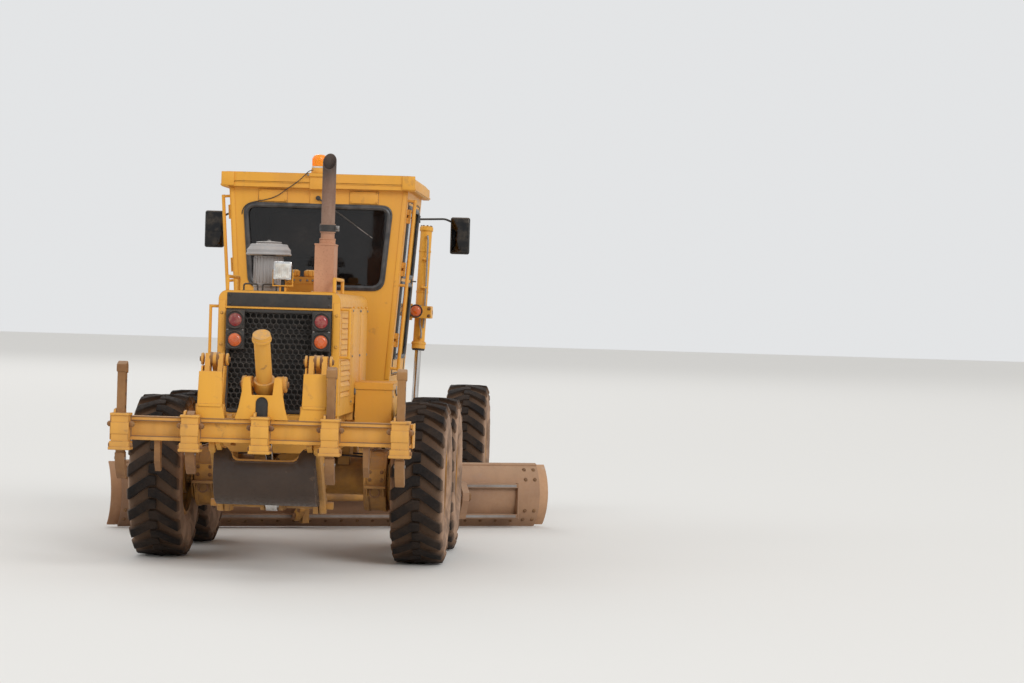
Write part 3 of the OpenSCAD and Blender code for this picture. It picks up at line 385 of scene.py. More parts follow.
rubber, tree, shader, place = blank("tyre_rubber")
depth = node_of(tree, "ShaderNodeAttribute", attribute_name="tread_depth").outputs["Fac"]
patches = stepped(tree, speckle(tree, place, 5, 7), 0.34, 0.66)
fine = speckle(tree, place, 60, 5)
# The rubber's near-black base is darker than bare rubber: painted shade, as the tyres stand in shadow.
tint = mixed(tree, times(tree, patches, 0.55), (0.0085, 0.0065, 0.006, 1), (0.048, 0.030, 0.020, 1))
tint = mixed(tree, times(tree, depth, stepped(tree, fine, 0.15, 0.65, 0.55, 0.95)), tint, (0.085, 0.049, 0.029, 1))
wall = node_of(tree, "ShaderNodeAttribute", attribute_name="sidewall").outputs["Fac"]
tint = mixed(tree, times(tree, wall, stepped(tree, patches, 0.0, 1.0, 0.45, 0.95)), tint, (0.42, 0.262, 0.170, 1))
tree.links.new(tint, shader.inputs["Base Color"])
shader.inputs["Specular IOR Level"].default_value = 0.25
tree.links.new(stepped(tree, fine, 0.2, 0.8, 0.62, 0.92), shader.inputs["Roughness"])
bump = node_of(tree, "ShaderNodeBump", {"Strength": 0.35, "Distance": 0.004})
tree.links.new(fine, bump.inputs["Height"])
tree.links.new(bump.outputs[0], shader.inputs["Normal"])
# One side of the carcass, from the bead out over the bulged wall to the tread.
half_section = [
    (rim_r + 0.001, 0.165), (rim_r + 0.024, 0.186), (0.372, 0.196), (0.380, 0.204), (0.390, 0.203),
    (0.425, 0.215), (0.470, 0.2225), (0.520, 0.2215), (0.565, 0.213), (0.600, 0.200),
    (0.622, 0.184), (0.634, 0.150), (tyre_r - lug_h, 0.090), (tyre_r - lug_h + 0.001, 0.0),
]
carcass = spun(half_section + [(r, -x) for r, x in half_section[-2::-1]] + [(rim_r + 0.001, 0.165)], rubber, 96)
# One lug: a block, cut finer, then laid along its path over the tread and shoulder.
clear()
bpy.ops.mesh.primitive_cube_add(size=1)
lug = bpy.context.object
bpy.ops.object.mode_set(mode="EDIT")
bpy.ops.mesh.select_all(action="SELECT")
bpy.ops.mesh.subdivide(number_cuts=3)
bpy.ops.object.mode_set(mode="OBJECT")
outer_path = [(-0.032, 0.675), (0.030, 0.6755), (0.118, 0.674), (0.196, 0.668), (0.2195, 0.612)]
inner_path = [(-0.030, 0.632), (0.030, 0.632), (0.110, 0.630), (0.170, 0.618), (0.200, 0.585)]
drop = [0.0, 0.0, 0.062, 0.118, 0.136]
spread = [0.036, 0.042, 0.046, 0.049, 0.044]
for v in lug.data.vertices:
    s = min(4, max(0, round((v.co.x + 0.5) * 4)))
    lift = v.co.z + 0.5
    x = inner_path[s][0] + (outer_path[s][0] - inner_path[s][0]) * lift
    r = inner_path[s][1] + (outer_path[s][1] - inner_path[s][1]) * lift
    a = (v.co.y * 2 * spread[s] * (1.22 - 0.22 * lift) - drop[s]) / tyre_r
    v.co = (x, -r * math.cos(a), r * math.sin(a))
facing_out(lug)
lug.data.materials.append(rubber)
eased(lug, 0.0045, 1, 40)
pitch_angle = 2 * math.pi / lug_count
lugs = []
for side in (1, -1):
    for i in range(lug_count):
        turn = Matrix.Rotation(-(i + (0.5 if side < 0 else 0)) * pitch_angle, 4, "X")
        lugs.append(copied(lug, turn @ Matrix.Scale(side, 4, (1, 0, 0))))
        if side < 0:
            lugs[-1].data.flip_normals()
tyre = gathered("tyre_model", [carcass, *lugs])
bpy.data.objects.remove(lug)
reach = [math.hypot(v.co.y, v.co.z) for v in tyre.data.vertices]
deep = tyre.data.attributes.new("tread_depth", "FLOAT", "POINT")
deep.data.foreach_set("value", [max(0.0, min(1.0, (0.668 - r) / 0.026)) if r > 0.56 else 0.35 for r in reach])
wall_share = tyre.data.attributes.new("sidewall", "FLOAT", "POINT")
wall_share.data.foreach_set("value", [max(0.0, min(1.0, (0.64 - r) / 0.08)) for r in reach])
for end, y in wheel_y.items():
    for name, sign in sides:
        rolled = Matrix.Rotation(0.7 * y + 0.4 * sign, 4, "X")
        piece = copied(tyre, Matrix.Translation((sign * wheel_x, y, tyre_r)) @ rolled)
        piece.name = piece.data.name = f"lugged_tyre_{end}_{name}"
        mounted(piece, f"wheel_{end}_{name}")
        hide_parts(f"tyre_{end}_{name}")
bpy.data.objects.remove(tyre)

# The radiator grille in the hood's rear face: a black pressed sheet of hexagonal
# holes in a flat frame, with the radiator's fins showing dark behind it.
hood_rear = -3.890
grille_half, grille_low, grille_high = 0.418, 1.262, 2.082
cell_pitch, cell_wall, sheet_depth = 0.046, 0.0060, 0.012


def slab(low, high, edge=0.004, finish=None):
    """A plate or block between two corners, with its edges broken."""
    clear()
    bpy.ops.mesh.primitive_cube_add(size=1, location=[(a + b) / 2 for a, b in zip(low, high)],
                                    scale=[abs(b - a) for a, b in zip(low, high)])
    piece = settled(bpy.context.object)
    if edge:
        eased(piece, edge)
    if finish:
        piece.data.materials.append(finish)
    return piece


def moved(part, place, turn=Matrix()):
    """The part, turned about the origin and then moved to its place."""
    part.data.transform(Matrix.Translation(place) @ turn)
    return part


facing_back = Matrix.Rotation(math.pi / 2, 4, "X")
# One cell: a hexagon, inset, with its middle taken out, and then thickened.
cell_r = cell_pitch / math.sqrt(3)
clear()
bpy.ops.mesh.primitive_circle_add(vertices=6, radius=cell_r, fill_type="NGON")
cell = bpy.context.object
bpy.ops.object.mode_set(mode="EDIT")
bpy.ops.mesh.select_all(action="SELECT")
bpy.ops.mesh.inset(thickness=cell_wall / 2)
bpy.ops.mesh.delete(type="FACE")
bpy.ops.object.mode_set(mode="OBJECT")
finished(cell, "SOLIDIFY", thickness=sheet_depth, offset=0)
cell.data.materials.append(black)
moved(cell, (0, 0, 0), facing_back)
row_step = cell_pitch * math.sqrt(3) / 2
cells = []
for row in range(int((grille_high - grille_low) / row_step) + 1):
    for column in range(-9, 10):
        x = (column + (row % 2) / 2) * cell_pitch
        z = grille_low + 0.012 + row * row_step
        if abs(x) < grille_half - 0.012 and z < grille_high - 0.004:
            cells.append(copied(cell, Matrix.Translation((x, hood_rear + 0.014, z))))
bpy.data.objects.remove(cell)
g = grille_half
frame_strips = [slab((x0, hood_rear - 0.004, z0), (x1, hood_rear + 0.022, z1), 0.003, black) for x0, z0, x1, z1 in (
    (-g, grille_low, g, grille_low + 0.026),
    (-g, grille_high - 0.026, g, grille_high),
    (-g, grille_low + 0.026, -g + 0.024, grille_high - 0.026),
    (g - 0.024, grille_low + 0.026, g, grille_high - 0.026),
)]
fins = [slab((-g + 0.03, hood_rear + 0.034, grille_low + 0.04 + i * 0.05),
             (g - 0.03, hood_rear + 0.038, grille_low + 0.058 + i * 0.05), 0, black) for i in range(15)]
honeycomb = gathered("honeycomb_grille", cells + frame_strips + fins)
mounted(honeycomb, "rear")
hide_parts("grille")

# The black band above the grille: a plain plate let into the hood's rear face, with a
# thin bright lip of hood paint between the two, held by four small screws.
def drum(start, end, radius, edge=0.003, finish=None, sides=32):
    """A round bar between two points, or a many-sided one."""
    clear()
    start, end = Vector(start), Vector(end)
    way = end - start
    bpy.ops.mesh.primitive_cone_add(vertices=sides, radius1=radius, radius2=radius, depth=way.length,
                                    location=(start + end) / 2, rotation=way.to_track_quat("Z", "Y").to_euler())
    piece = settled(bpy.context.object)
    if edge:
        eased(piece, edge)
    if finish:
        piece.data.materials.append(finish)
    return piece


def bolts(places, way, size, finish):
    """Hexagon bolt heads on washers, as one part. way is the direction that they face."""
    head = gathered("head", [drum((0, 0, 0), (0, 0, size * 0.65), size, size * 0.1, finish, 6),
                             drum((0, 0, -0.001), (0, 0, size * 0.14), size * 1.35, 0, finish, 16)])
    aim = Vector(way).to_track_quat("Z", "Y").to_matrix().to_4x4()
    set_of = [copied(head, Matrix.Translation(p) @ aim) for p in places]
    bpy.data.objects.remove(head)
    return gathered("bolts", set_of)


up_way, back_way, front_way, right_way = (0, 0, 1), (0, -1, 0), (0, 1, 0), (1, 0, 0)
band = slab((-0.418, hood_rear - 0.006, 2.104), (0.418, hood_rear + 0.004, 2.212), 0.003, black)
screws = bolts([(x, hood_rear - 0.006, z) for x in (-0.395, 0.395) for z in (2.124, 2.192)], back_way, 0.009, black)
mounted(gathered("grille_band", [band, screws]), "rear")

# Tail lamps: two round lenses on each black panel, red over amber. Each is a ribbed
# plastic dome in a dull metal ring.
lamp_x, lamp_zs, lens_r = 0.342, (1.997, 1.837), 0.062


def clear_plastic(name, colour, rough=0.22):
    """A clear tinted plastic under a film of dust."""
    made, tree, shader, place = blank(name)
    dust = stepped(tree, speckle(tree, place, 30, 6), 0.35, 0.75)
    darker = tuple(c * 0.6 for c in colour)
    tint = mixed(tree, stepped(tree, speckle(tree, place, 9, 3), 0.3, 0.7), (*colour, 1), (*darker, 1))
    tree.links.new(mixed(tree, times(tree, dust, 0.4), tint, (0.42, 0.28, 0.18, 1)), shader.inputs["Base Color"])
    tree.links.new(stepped(tree, dust, 0, 1, rough, 0.6), shader.inputs["Roughness"])
    shader.inputs["Coat Weight"].default_value = 0.4
    return made


red_lens = clear_plastic("red_lens", (0.30, 0.018, 0.024))
amber_lens = clear_plastic("amber_lens", (0.72, 0.110, 0.005))
bare_metal = coat("dull_metal", (0.34, 0.33, 0.32), (0.24, 0.21, 0.19), dusty=0.4, dirty=0.5, wear=0.3, rough=0.4,
                  metal=0.8)
for name, side in sides:
    parts = []
    for z, lens in zip(lamp_zs, (red_lens, amber_lens)):
        rings = [(0.0001, 0.030), (0.018, 0.029), (0.034, 0.026), (0.048, 0.020), (0.057, 0.010), (lens_r, -0.004)]
        ridged = []
        for (r0, h0), (r1, h1) in zip(rings, rings[1:]):
            ridged += [(r0, h0), (r0 * 0.3 + r1 * 0.7, h0 * 0.3 + h1 * 0.7 - 0.0015)]
        dome = spun(ridged + [rings[-1]], lens, 40, "Z")
        ring = spun([(lens_r - 0.002, -0.002), (lens_r - 0.001, 0.008), (lens_r + 0.004, 0.010),
                     (lens_r + 0.008, 0.006), (lens_r + 0.008, -0.002)], bare_metal, 40, "Z")
        parts += [moved(part, (side * lamp_x, hood_rear - 0.042, z), facing_back) for part in (dome, ring)]
    corners = [(side * x, hood_rear - 0.045, z) for x in (0.282, 0.403) for z in (1.775, 1.917, 2.060)]
    parts.append(bolts(corners, back_way, 0.007, bare_metal))
    mounted(gathered("tail_lamps_" + name, parts), "rear")

# The exhaust: a pink-brown rusted muffler box and a dark pipe, held by a black band with
# one bolt, cut off at a slant and black with soot at its mouth. Welded on a bolted foot.
stack_x, stack_y, muffler_top = 0.335, -3.590, 2.620
scorched, tree, shader, place = blank("scorched_steel")
split = node_of(tree, "ShaderNodeSeparateXYZ")
tree.links.new(place, split.inputs[0])
patches = stepped(tree, speckle(tree, place, 5, 7, (1, 1, 0.35)), 0.30, 0.68)
fine = speckle(tree, place, 70, 6)
tint = mixed(tree, times(tree, patches, 0.75), (0.56, 0.29, 0.165, 1), (0.40, 0.185, 0.105, 1))
dark_pipe = mixed(tree, patches, (0.165, 0.088, 0.060, 1), (0.30, 0.19, 0.135, 1))
tint = mixed(tree, stepped(tree, split.outputs["Z"], 2.63, 2.80), tint, dark_pipe)
tint = mixed(tree, times(tree, stepped(tree, split.outputs["Z"], 3.05, 3.26), 0.8), tint, (0.030, 0.026, 0.024, 1))
tint = mixed(tree, times(tree, stepped(tree, fine, 0.52, 0.75), 0.45), tint, (0.16, 0.075, 0.045, 1))
tree.links.new(tint, shader.inputs["Base Color"])
tree.links.new(stepped(tree, fine, 0.2, 0.8, 0.6, 0.92), shader.inputs["Roughness"])
bump = node_of(tree, "ShaderNodeBump", {"Strength": 0.45, "Distance": 0.003})
tree.links.new(fine, bump.inputs["Height"])
tree.links.new(bump.outputs[0], shader.inputs["Normal"])
dressed(["exhaust"], scorched)


def by_stack(x, y, z):
    return stack_x + x, stack_y + y, z


mounted(gathered("exhaust_fittings", [
    slab(by_stack(-0.105, -0.165, 2.229), by_stack(0.085, 0.165, 2.238), 0.002, yellow),
    bolts([by_stack(x, y, 2.238) for x in (-0.095, 0.076) for y in (-0.15, 0.0, 0.15)], up_way, 0.008, bare_metal),
    slab(by_stack(-0.089, -0.144, muffler_top - 0.010), by_stack(0.074, 0.144, muffler_top + 0.003), 0.003, scorched),
    moved(spun([(0.061, 2.655), (0.066, 2.658), (0.067, 2.664), (0.061, 2.668)], scorched, 32, "Z"),
          by_stack(0, 0, 0)),
    moved(spun([(0.0635, 2.722), (0.0665, 2.724), (0.0665, 2.776), (0.0635, 2.778)], black, 40, "Z"),
          by_stack(0, 0, 0)),
    *[slab(by_stack(0.060, y - 0.003, 2.728), by_stack(0.092, y + 0.003, 2.772), 0.002, bare_metal)
      for y in (-0.010, 0.010)],
    drum(by_stack(0.079, -0.034, 2.75), by_stack(0.079, 0.028, 2.75), 0.006, 0.001, bare_metal, 12),
    bolts([by_stack(0.079, -0.013, 2.75)], back_way, 0.011, bare_metal),
]), "rear")

# The pre-cleaner on the air intake: a dusty grey drum with upright ribs under a wide
# pressed cap, held on its stub by a screw band. The cap is spun sheet with rolled lips.
intake_x, intake_y = -0.150, -3.470
grey_cap = coat("grey_plastic", (0.36, 0.355, 0.36), (0.29, 0.27, 0.26), dust=(0.50, 0.42, 0.36), dusty=0.6,
                dirty=0.3, worn=(0.20, 0.16, 0.13), wear=0.3, rough=0.42, grain=0.12)
dressed(["air_cleaner"], grey_cap)
lips = spun([(0.165, 2.526), (0.178, 2.522), (0.184, 2.527), (0.184, 2.535), (0.178, 2.540), (0.152, 2.604),
             (0.150, 2.609), (0.140, 2.612)], grey_cap, 64, "Z")
top_ring = spun([(0.098, 2.620), (0.104, 2.626), (0.098, 2.631), (0.060, 2.634), (0.020, 2.636), (0.0001, 2.637)],
                grey_cap, 48, "Z")
base_band = spun([(0.113, 2.262), (0.121, 2.264), (0.121, 2.286), (0.113, 2.288)], bare_metal, 48, "Z")
turned_parts = [moved(part, (intake_x, intake_y, 0)) for part in (lips, top_ring, base_band)]
rib = slab((-0.004, -0.1215, 2.300), (0.004, -0.110, 2.508), 0.002, grey_cap)
ribs = [copied(rib, Matrix.Translation((intake_x, intake_y, 0)) @ Matrix.Rotation(i * math.pi / 12, 4, "Z"))
        for i in range(24)]
bpy.data.objects.remove(rib)
mounted(gathered("pre_cleaner_fittings", [
    *turned_parts, *ribs,
    bolts([(intake_x, intake_y, 2.637)], up_way, 0.014, bare_metal),
    bolts([(intake_x + 0.045, intake_y - 0.114, 2.275)], (1, -1, 0), 0.008, bare_metal),
]), "rear")

# The work lamp on the hood: a round-cornered black body with a bright rim and a ribbed
# clear lens, pivoted in a short yellow bracket.
lamp_at = Vector((0.010, -3.830, 2.395))


def by_lamp(x, y, z):
    return lamp_at + Vector((x, y, z))


chrome = patchy("bright_rim", 24, 5, (0.70, 0.70, 0.70), (0.45, 0.42, 0.39), (0.12, 0.45), metal=1)
frosted = clear_plastic("clear_lens", (0.80, 0.79, 0.74), 0.15)
mounted(gathered("hood_work_lamp", [
    slab(by_lamp(-0.070, -0.012, -0.070), by_lamp(0.070, 0.090, 0.070), 0.022, black),
    slab(by_lamp(-0.073, -0.022, -0.073), by_lamp(0.073, 0.000, 0.073), 0.010, chrome),
    slab(by_lamp(-0.058, -0.027, -0.058), by_lamp(0.058, -0.018, 0.058), 0.006, frosted),
    *[drum(by_lamp(x, -0.026, -0.050), by_lamp(x, -0.026, 0.050), 0.0045, 0, frosted, 10)
      for x in [-0.048 + i * 0.016 for i in range(7)]],
    *[slab(by_lamp(x - 0.004, 0.016, -0.115), by_lamp(x + 0.004, 0.052, 0.010), 0.002, yellow)
      for x in (-0.078, 0.078)],
    slab(by_lamp(-0.082, 0.014, -0.124), by_lamp(0.082, 0.054, -0.114), 0.002, yellow),
    slab(by_lamp(-0.030, 0.030, -0.166), by_lamp(0.030, 0.080, -0.118), 0.004, yellow),
    *[bolts([by_lamp(s * 0.082, 0.034, 0.0)], (s, 0, 0), 0.009, bare_metal) for s in (1, -1)],
]), "rear")

# Hood furniture: ribbed filler caps on the header tank, its seam and bolts, two black
# pull handles, tilted louvre blades in the side slots, and hinged service doors.
def soft_corner(before, corner, after, steps=6):
    """The points of a curve from before to after, drawn towards the corner."""
    return [before * (1 - t) ** 2 + corner * 2 * t * (1 - t) + after * t * t
            for t in (k / steps for k in range(steps + 1))]


def cornered(points, bend):
    """The points of a bent tube's centreline: straight runs with round corners."""
    points = [Vector(p) for p in points]
    line = [points[0]]
    for before, corner, after in zip(points, points[1:], points[2:]):
        a, b = (before - corner), (after - corner)
        cut = min(bend, a.length * 0.48, b.length * 0.48)
        line += soft_corner(corner + a.normalized() * cut, corner, corner + b.normalized() * cut)
    return line + [points[-1]]


def tube(points, radius, finish, bend=0.0, closed=False, resolution=3):
    """A tube or hose along points, as a mesh."""
    clear()
    line = bpy.data.curves.new("tube", "CURVE")
    line.dimensions = "3D"
    line.bevel_depth, line.bevel_resolution, line.use_fill_caps = radius, resolution, True
    run_through(line, "POLY", cornered(points, bend) if bend else points).use_cyclic_u = closed
    chosen(added("tube", line))
    bpy.ops.object.convert(target="MESH")
    piece = bpy.context.object
    piece.data.materials.clear()
    piece.data.materials.append(finish)
    return piece


caps = []
for x in (0.020, 0.150):
    caps.append(moved(spun([(0.0001, 2.418), (0.030, 2.418), (0.040, 2.413), (0.042, 2.404), (0.042, 2.368),
                            (0.036, 2.362)], yellow, 32, "Z"), (x, -3.130, 0)))
    for i in range(8):
        caps.append(moved(slab((0.038, -0.006, 2.368), (0.048, 0.006, 2.410), 0.003, yellow), (x, -3.130, 0),
                          Matrix.Rotation(i * math.pi / 4, 4, "Z")))
seam = slab((-0.044, -3.274, 2.300), (0.214, -2.986, 2.310), 0.003, yellow)
tank_bolts = bolts([(x, -3.274, 2.33) for x in (-0.02, 0.035, 0.09, 0.145, 0.19)], back_way, 0.007, bare_metal)
mounted(gathered("header_tank_fittings", [*caps, seam, tank_bolts]), "rear")

handles = []
for x in (-0.300, -0.150):
    handles += [
        tube([(x, -3.80, 2.228), (x, -3.80, 2.285), (x + 0.11, -3.80, 2.285), (x + 0.11, -3.80, 2.228)], 0.007, black,
             0.02),
        slab((x - 0.014, -3.816, 2.228), (x + 0.124, -3.784, 2.233), 0.002, black),
    ]
mounted(gathered("hood_pull_handles", handles), "rear")

for name, side in sides:
    tilted = Matrix.Rotation(side * math.radians(-24), 4, "Y")
    blades = [moved(slab((-0.003, -3.732, -0.027), (0.003, -2.988, 0.027), 0.001, yellow),
                    (side * 0.479, 0, 1.420 + i * 0.085), tilted) for i in range(9)]
    mounted(gathered("hood_louvres_" + name, blades), "rear")
    doors, fittings = [], []
    for y0, y1 in ((-2.935, -2.265), (-2.250, -1.580)):
        doors += [
            slab((side * 0.485, y0, 1.320), (side * 0.4915, y1, 2.120), 0.003, yellow),
            slab((side * 0.4905, y0 + 0.05, 1.370), (side * 0.4945, y1 - 0.05, 2.070), 0.003, yellow),
        ]
        for y in (y0 + 0.14, y1 - 0.14):
            fittings.append(drum((side * 0.494, y - 0.045, 2.124), (side * 0.494, y + 0.045, 2.124), 0.008, 0.001,
                                 yellow, 16))
        middle = (y0 + y1) / 2
        fittings += [
            slab((side * 0.494, middle - 0.055, 1.392), (side * 0.499, middle + 0.055, 1.452), 0.004, black),
            slab((side * 0.498, middle - 0.040, 1.402), (side * 0.505, middle + 0.018, 1.442), 0.003, bare_metal),
            bolts([(side * 0.495, y, z) for y in (y0 + 0.025, y1 - 0.025) for z in (1.345, 1.72, 2.095)],
                  (side, 0, 0), 0.008, bare_metal),
        ]
    doors += [
        slab((side * 0.485, -3.780, 1.335), (side * 0.489, -3.740, 2.120), 0.002, yellow),
        slab((side * 0.485, -2.980, 1.335), (side * 0.489, -2.945, 2.120), 0.002, yellow),
    ]
    mounted(gathered("hood_side_doors_" + name, doors + fittings), "rear")

# The steel corner frame round the grille opening: a raised lip on the hood's rear face,
# fixed with bolts along its upright edges.
lip = [
    slab((-0.484, hood_rear - 0.006, 1.256), (-0.430, hood_rear + 0.001, 2.150), 0.003, yellow),
    slab((0.430, hood_rear - 0.006, 1.256), (0.484, hood_rear + 0.001, 2.150), 0.003, yellow),
    slab((-0.430, hood_rear - 0.006, 2.086), (0.430, hood_rear + 0.001, 2.100), 0.003, yellow),
]
lip.append(bolts([(s * 0.458, hood_rear - 0.006, z) for s in (-1, 1) for z in (1.30, 1.55, 1.80, 2.05)], back_way,
                 0.010, dirty_yellow))
mounted(gathered("grille_surround", lip), "rear")

# Each tail lamp sits in its own black moulding: a square plate with rounded corners and
# a raised bead round the lens.
for name, side in sides:
    moulding = []
    for z in lamp_zs:
        x, y = side * lamp_x, hood_rear - 0.044
        moulding += [
            slab((x - 0.074, y - 0.012, z - 0.074), (x + 0.074, y + 0.004, z + 0.074), 0.010, black),
            moved(spun([(0.064, 0.010), (0.0655, 0.020), (0.070, 0.022), (0.0725, 0.012)], black, 40, "Z"), (x, y, z),
                  facing_back),
        ]
    mounted(gathered("tail_lamp_mouldings_" + name, moulding), "rear")

# Side boxes: battery and tool boxes on the rear frame, with an overhanging lid, a
# padlock hasp and a lifting handle on each.
for name, side in sides:
    box_parts = [
        slab((side * 0.500, -2.595, 1.488), (side * 0.822, -1.877, 1.500), 0.004, yellow),
        slab((side * 0.8095, -2.560, 1.130), (side * 0.8140, -1.920, 1.405), 0.003, yellow),
        slab((side * 0.8130, -2.300, 1.400), (side * 0.8220, -2.240, 1.470), 0.003, bare_metal),
        drum((side * 0.825, -2.270, 1.408), (side * 0.825, -2.270, 1.384), 0.010, 0.002, bare_metal, 16),
        tube([(side * 0.812, -2.12, 1.27), (side * 0.845, -2.12, 1.27), (side * 0.845, -2.00, 1.27),
              (side * 0.812, -2.00, 1.27)], 0.007, black, 0.02),
        bolts([(side * 0.8135, y, z) for y in (-2.54, -1.94) for z in (1.15, 1.385)], (side, 0, 0), 0.008,
              bare_metal),
    ]
    mounted(gathered("side_box_fittings_" + name, box_parts), "rear")

# The cab's windows: flat glass, dusty outside, its dark tint partly real and partly painted
# shade, set in thick black rubber seals that are pushed over the edges of the openings. The seals' lips catch the
# light.
cab_rear, cab_front, cab_foot = -1.290, 0.360, 1.450
lean_out = 0.125 / 1.720


def wall_x(z):
    """Half the cab's width at a height: its sides lean out."""
    return 0.670 + (z - cab_foot) * lean_out


glass, tree, shader, place = blank("shade_darkened_glass")
film = times(tree, stepped(tree, speckle(tree, place, 1.6, 6), 0.35, 0.75),
             stepped(tree, speckle(tree, place, 45, 5), 0.2, 0.8))
# The glass's near-black colour is partly its tint and partly painted shade, so the windows read as dark as the dim
# cab inside.
tree.links.new(mixed(tree, film, (0.042, 0.036, 0.037, 1), (0.12, 0.095, 0.080, 1)), shader.inputs["Base Color"])
tree.links.new(stepped(tree, film, 0.0, 1.0, 0.02, 0.20), shader.inputs["Roughness"])
tree.links.new(stepped(tree, film, 0.0, 1.0, 0.96, 0.84), shader.inputs["Transmission Weight"])
shader.inputs["IOR"].default_value = 1.45
dressed(["cab_glass", "door_left_glass", "door_right_glass"], glass)

seal_rubber = patchy("seal_rubber", 12, 6, (0.028, 0.028, 0.030), (0.085, 0.080, 0.078), (0.35, 0.7))


def rounded(corners, bend):
    """A closed outline through 2-D corners, each of them rounded."""
    line = []
    for i in range(len(corners)):
        before, corner, after = (Vector(corners[(i + k) % len(corners)]) for k in (-1, 0, 1))
        a, b = (before - corner).normalized() * bend, (after - corner).normalized() * bend
        line += soft_corner(corner + a, corner, corner + b)
    return line


def window_seal(corners, bend, to_wall, width=0.015):
    """A seal round a window: a rubber tube and a thinner lip round it. to_wall puts a 2-D point on the wall."""
    middle = [sum(c[i] for c in corners) / len(corners) for i in (0, 1)]
    parts = []
    for grow, radius in ((0.0, width), (0.017, width * 0.55)):
        outline = rounded([[c + math.copysign(grow, c - m) for c, m in zip(corner, middle)] for corner in corners],
                          bend)
        parts.append(tube([to_wall(a, b) for a, b in outline], radius, seal_rubber, closed=True, resolution=2))
    return parts


def end_wall(y):
    return lambda a, b: (a, y, b)


def side_wall(side, out=0.0):
    return lambda a, b: (side * (wall_x(b) + out), a, b)


def trapezoid(half, low, high, slant=math.tan(math.radians(5.2))):
    foot = half - (high - low) * slant
    return [(-foot, low), (foot, low), (half, high), (-half, high)]


def box_of(a0, b0, a1, b1):
    return [(a0, b0), (a1, b0), (a1, b1), (a0, b1)]


rear_seal = window_seal(trapezoid(0.640, 2.304, 3.010), 0.095, end_wall(cab_rear - 0.004), 0.020)
mounted(gathered("rear_window_seal", rear_seal), "front")
front_seals = window_seal(trapezoid(0.640, 2.250, 3.010), 0.095, end_wall(cab_front + 0.004))
for s in (-1, 1):
    front_seals += window_seal(box_of(s * 0.230, 1.620, s * 0.560, 2.170), 0.055, end_wall(cab_front + 0.004))
mounted(gathered("front_window_seals", front_seals), "front")
door_y0, door_y1 = -1.140, 0.160
for name, side in sides:
    seals = window_seal(box_of(door_y0 + 0.07, 2.430, door_y1 - 0.07, 3.030), 0.065, side_wall(side, 0.003), 0.016)
    seals += window_seal(box_of(door_y0 + 0.07, 1.700, door_y1 - 0.07, 2.350), 0.065, side_wall(side, 0.003), 0.016)
    mounted(gathered("door_seals_" + name, seals), f"door_{name}")

# The rear wiper: a black arm on a spindle above the window, and a thin blade with a
# rubber lip, parked on a slant.
spindle, tip = Vector((0.0, cab_rear - 0.030, 3.085)), Vector((0.490, cab_rear - 0.022, 2.745))
along = (tip - spindle).normalized()
wiper = [
    drum((0, cab_rear + 0.002, 3.085), (0, cab_rear - 0.036, 3.085), 0.021, 0.004, black, 24),
    tube([spindle, spindle + along * 0.14, spindle + along * 0.40], 0.0075, black),
    tube([spindle + along * 0.20 + Vector((0, 0.010, 0)), tip + Vector((0, 0.010, 0))], 0.005, seal_rubber),
    tube([spindle + along * 0.22, tip], 0.0035, bare_metal),
]
for share in (0.30, 0.42, 0.56):
    clip = spindle + along * share
    wiper.append(slab(clip - Vector((0.008, 0.006, 0.008)), clip + Vector((0.008, 0.012, 0.008)), 0.002, black))
mounted(gathered("rear_wiper", wiper), "front")
front_wiper = [
    drum((0.05, cab_front - 0.002, 2.215), (0.05, cab_front + 0.034, 2.215), 0.020, 0.004, black, 24),
    tube([(0.05, cab_front + 0.030, 2.215), (0.16, cab_front + 0.034, 2.42), (0.26, cab_front + 0.026, 2.62)], 0.007,
         black),
    tube([(0.14, cab_front + 0.014, 2.32), (0.40, cab_front + 0.014, 2.88)], 0.006, seal_rubber),
]
mounted(gathered("front_wiper", front_wiper), "front")

# The cab's rear wall: two raised pressed covers, a flat stiffener up the middle under
# the beacon's bracket, and the fascia's folded crease and end blocks, all welded on.
def cut_plate(outline, axis, start, end, edge=0.003, finish=None):
    """A plate flame-cut to an outline. axis is the way its thickness runs, from start to end."""
    at = {"X": lambda a, b, t: (t, a, b), "Y": lambda a, b, t: (a, t, b), "Z": lambda a, b, t: (a, b, t)}[axis]
    mesh = bpy.data.meshes.new("plate")
    mesh.from_pydata([at(a, b, start) for a, b in outline], [], [list(range(len(outline)))])
    piece = chosen(added("plate", mesh))
    bpy.ops.object.mode_set(mode="EDIT")
    bpy.ops.mesh.select_all(action="SELECT")
    bpy.ops.mesh.extrude_region_move(TRANSFORM_OT_translate={"value": at(0, 0, end - start)})
    bpy.ops.mesh.select_all(action="SELECT")
    bpy.ops.mesh.normals_make_consistent(inside=False)
    bpy.ops.object.mode_set(mode="OBJECT")
    if edge:
        eased(piece, edge)
    if finish:
        piece.data.materials.append(finish)
    return piece


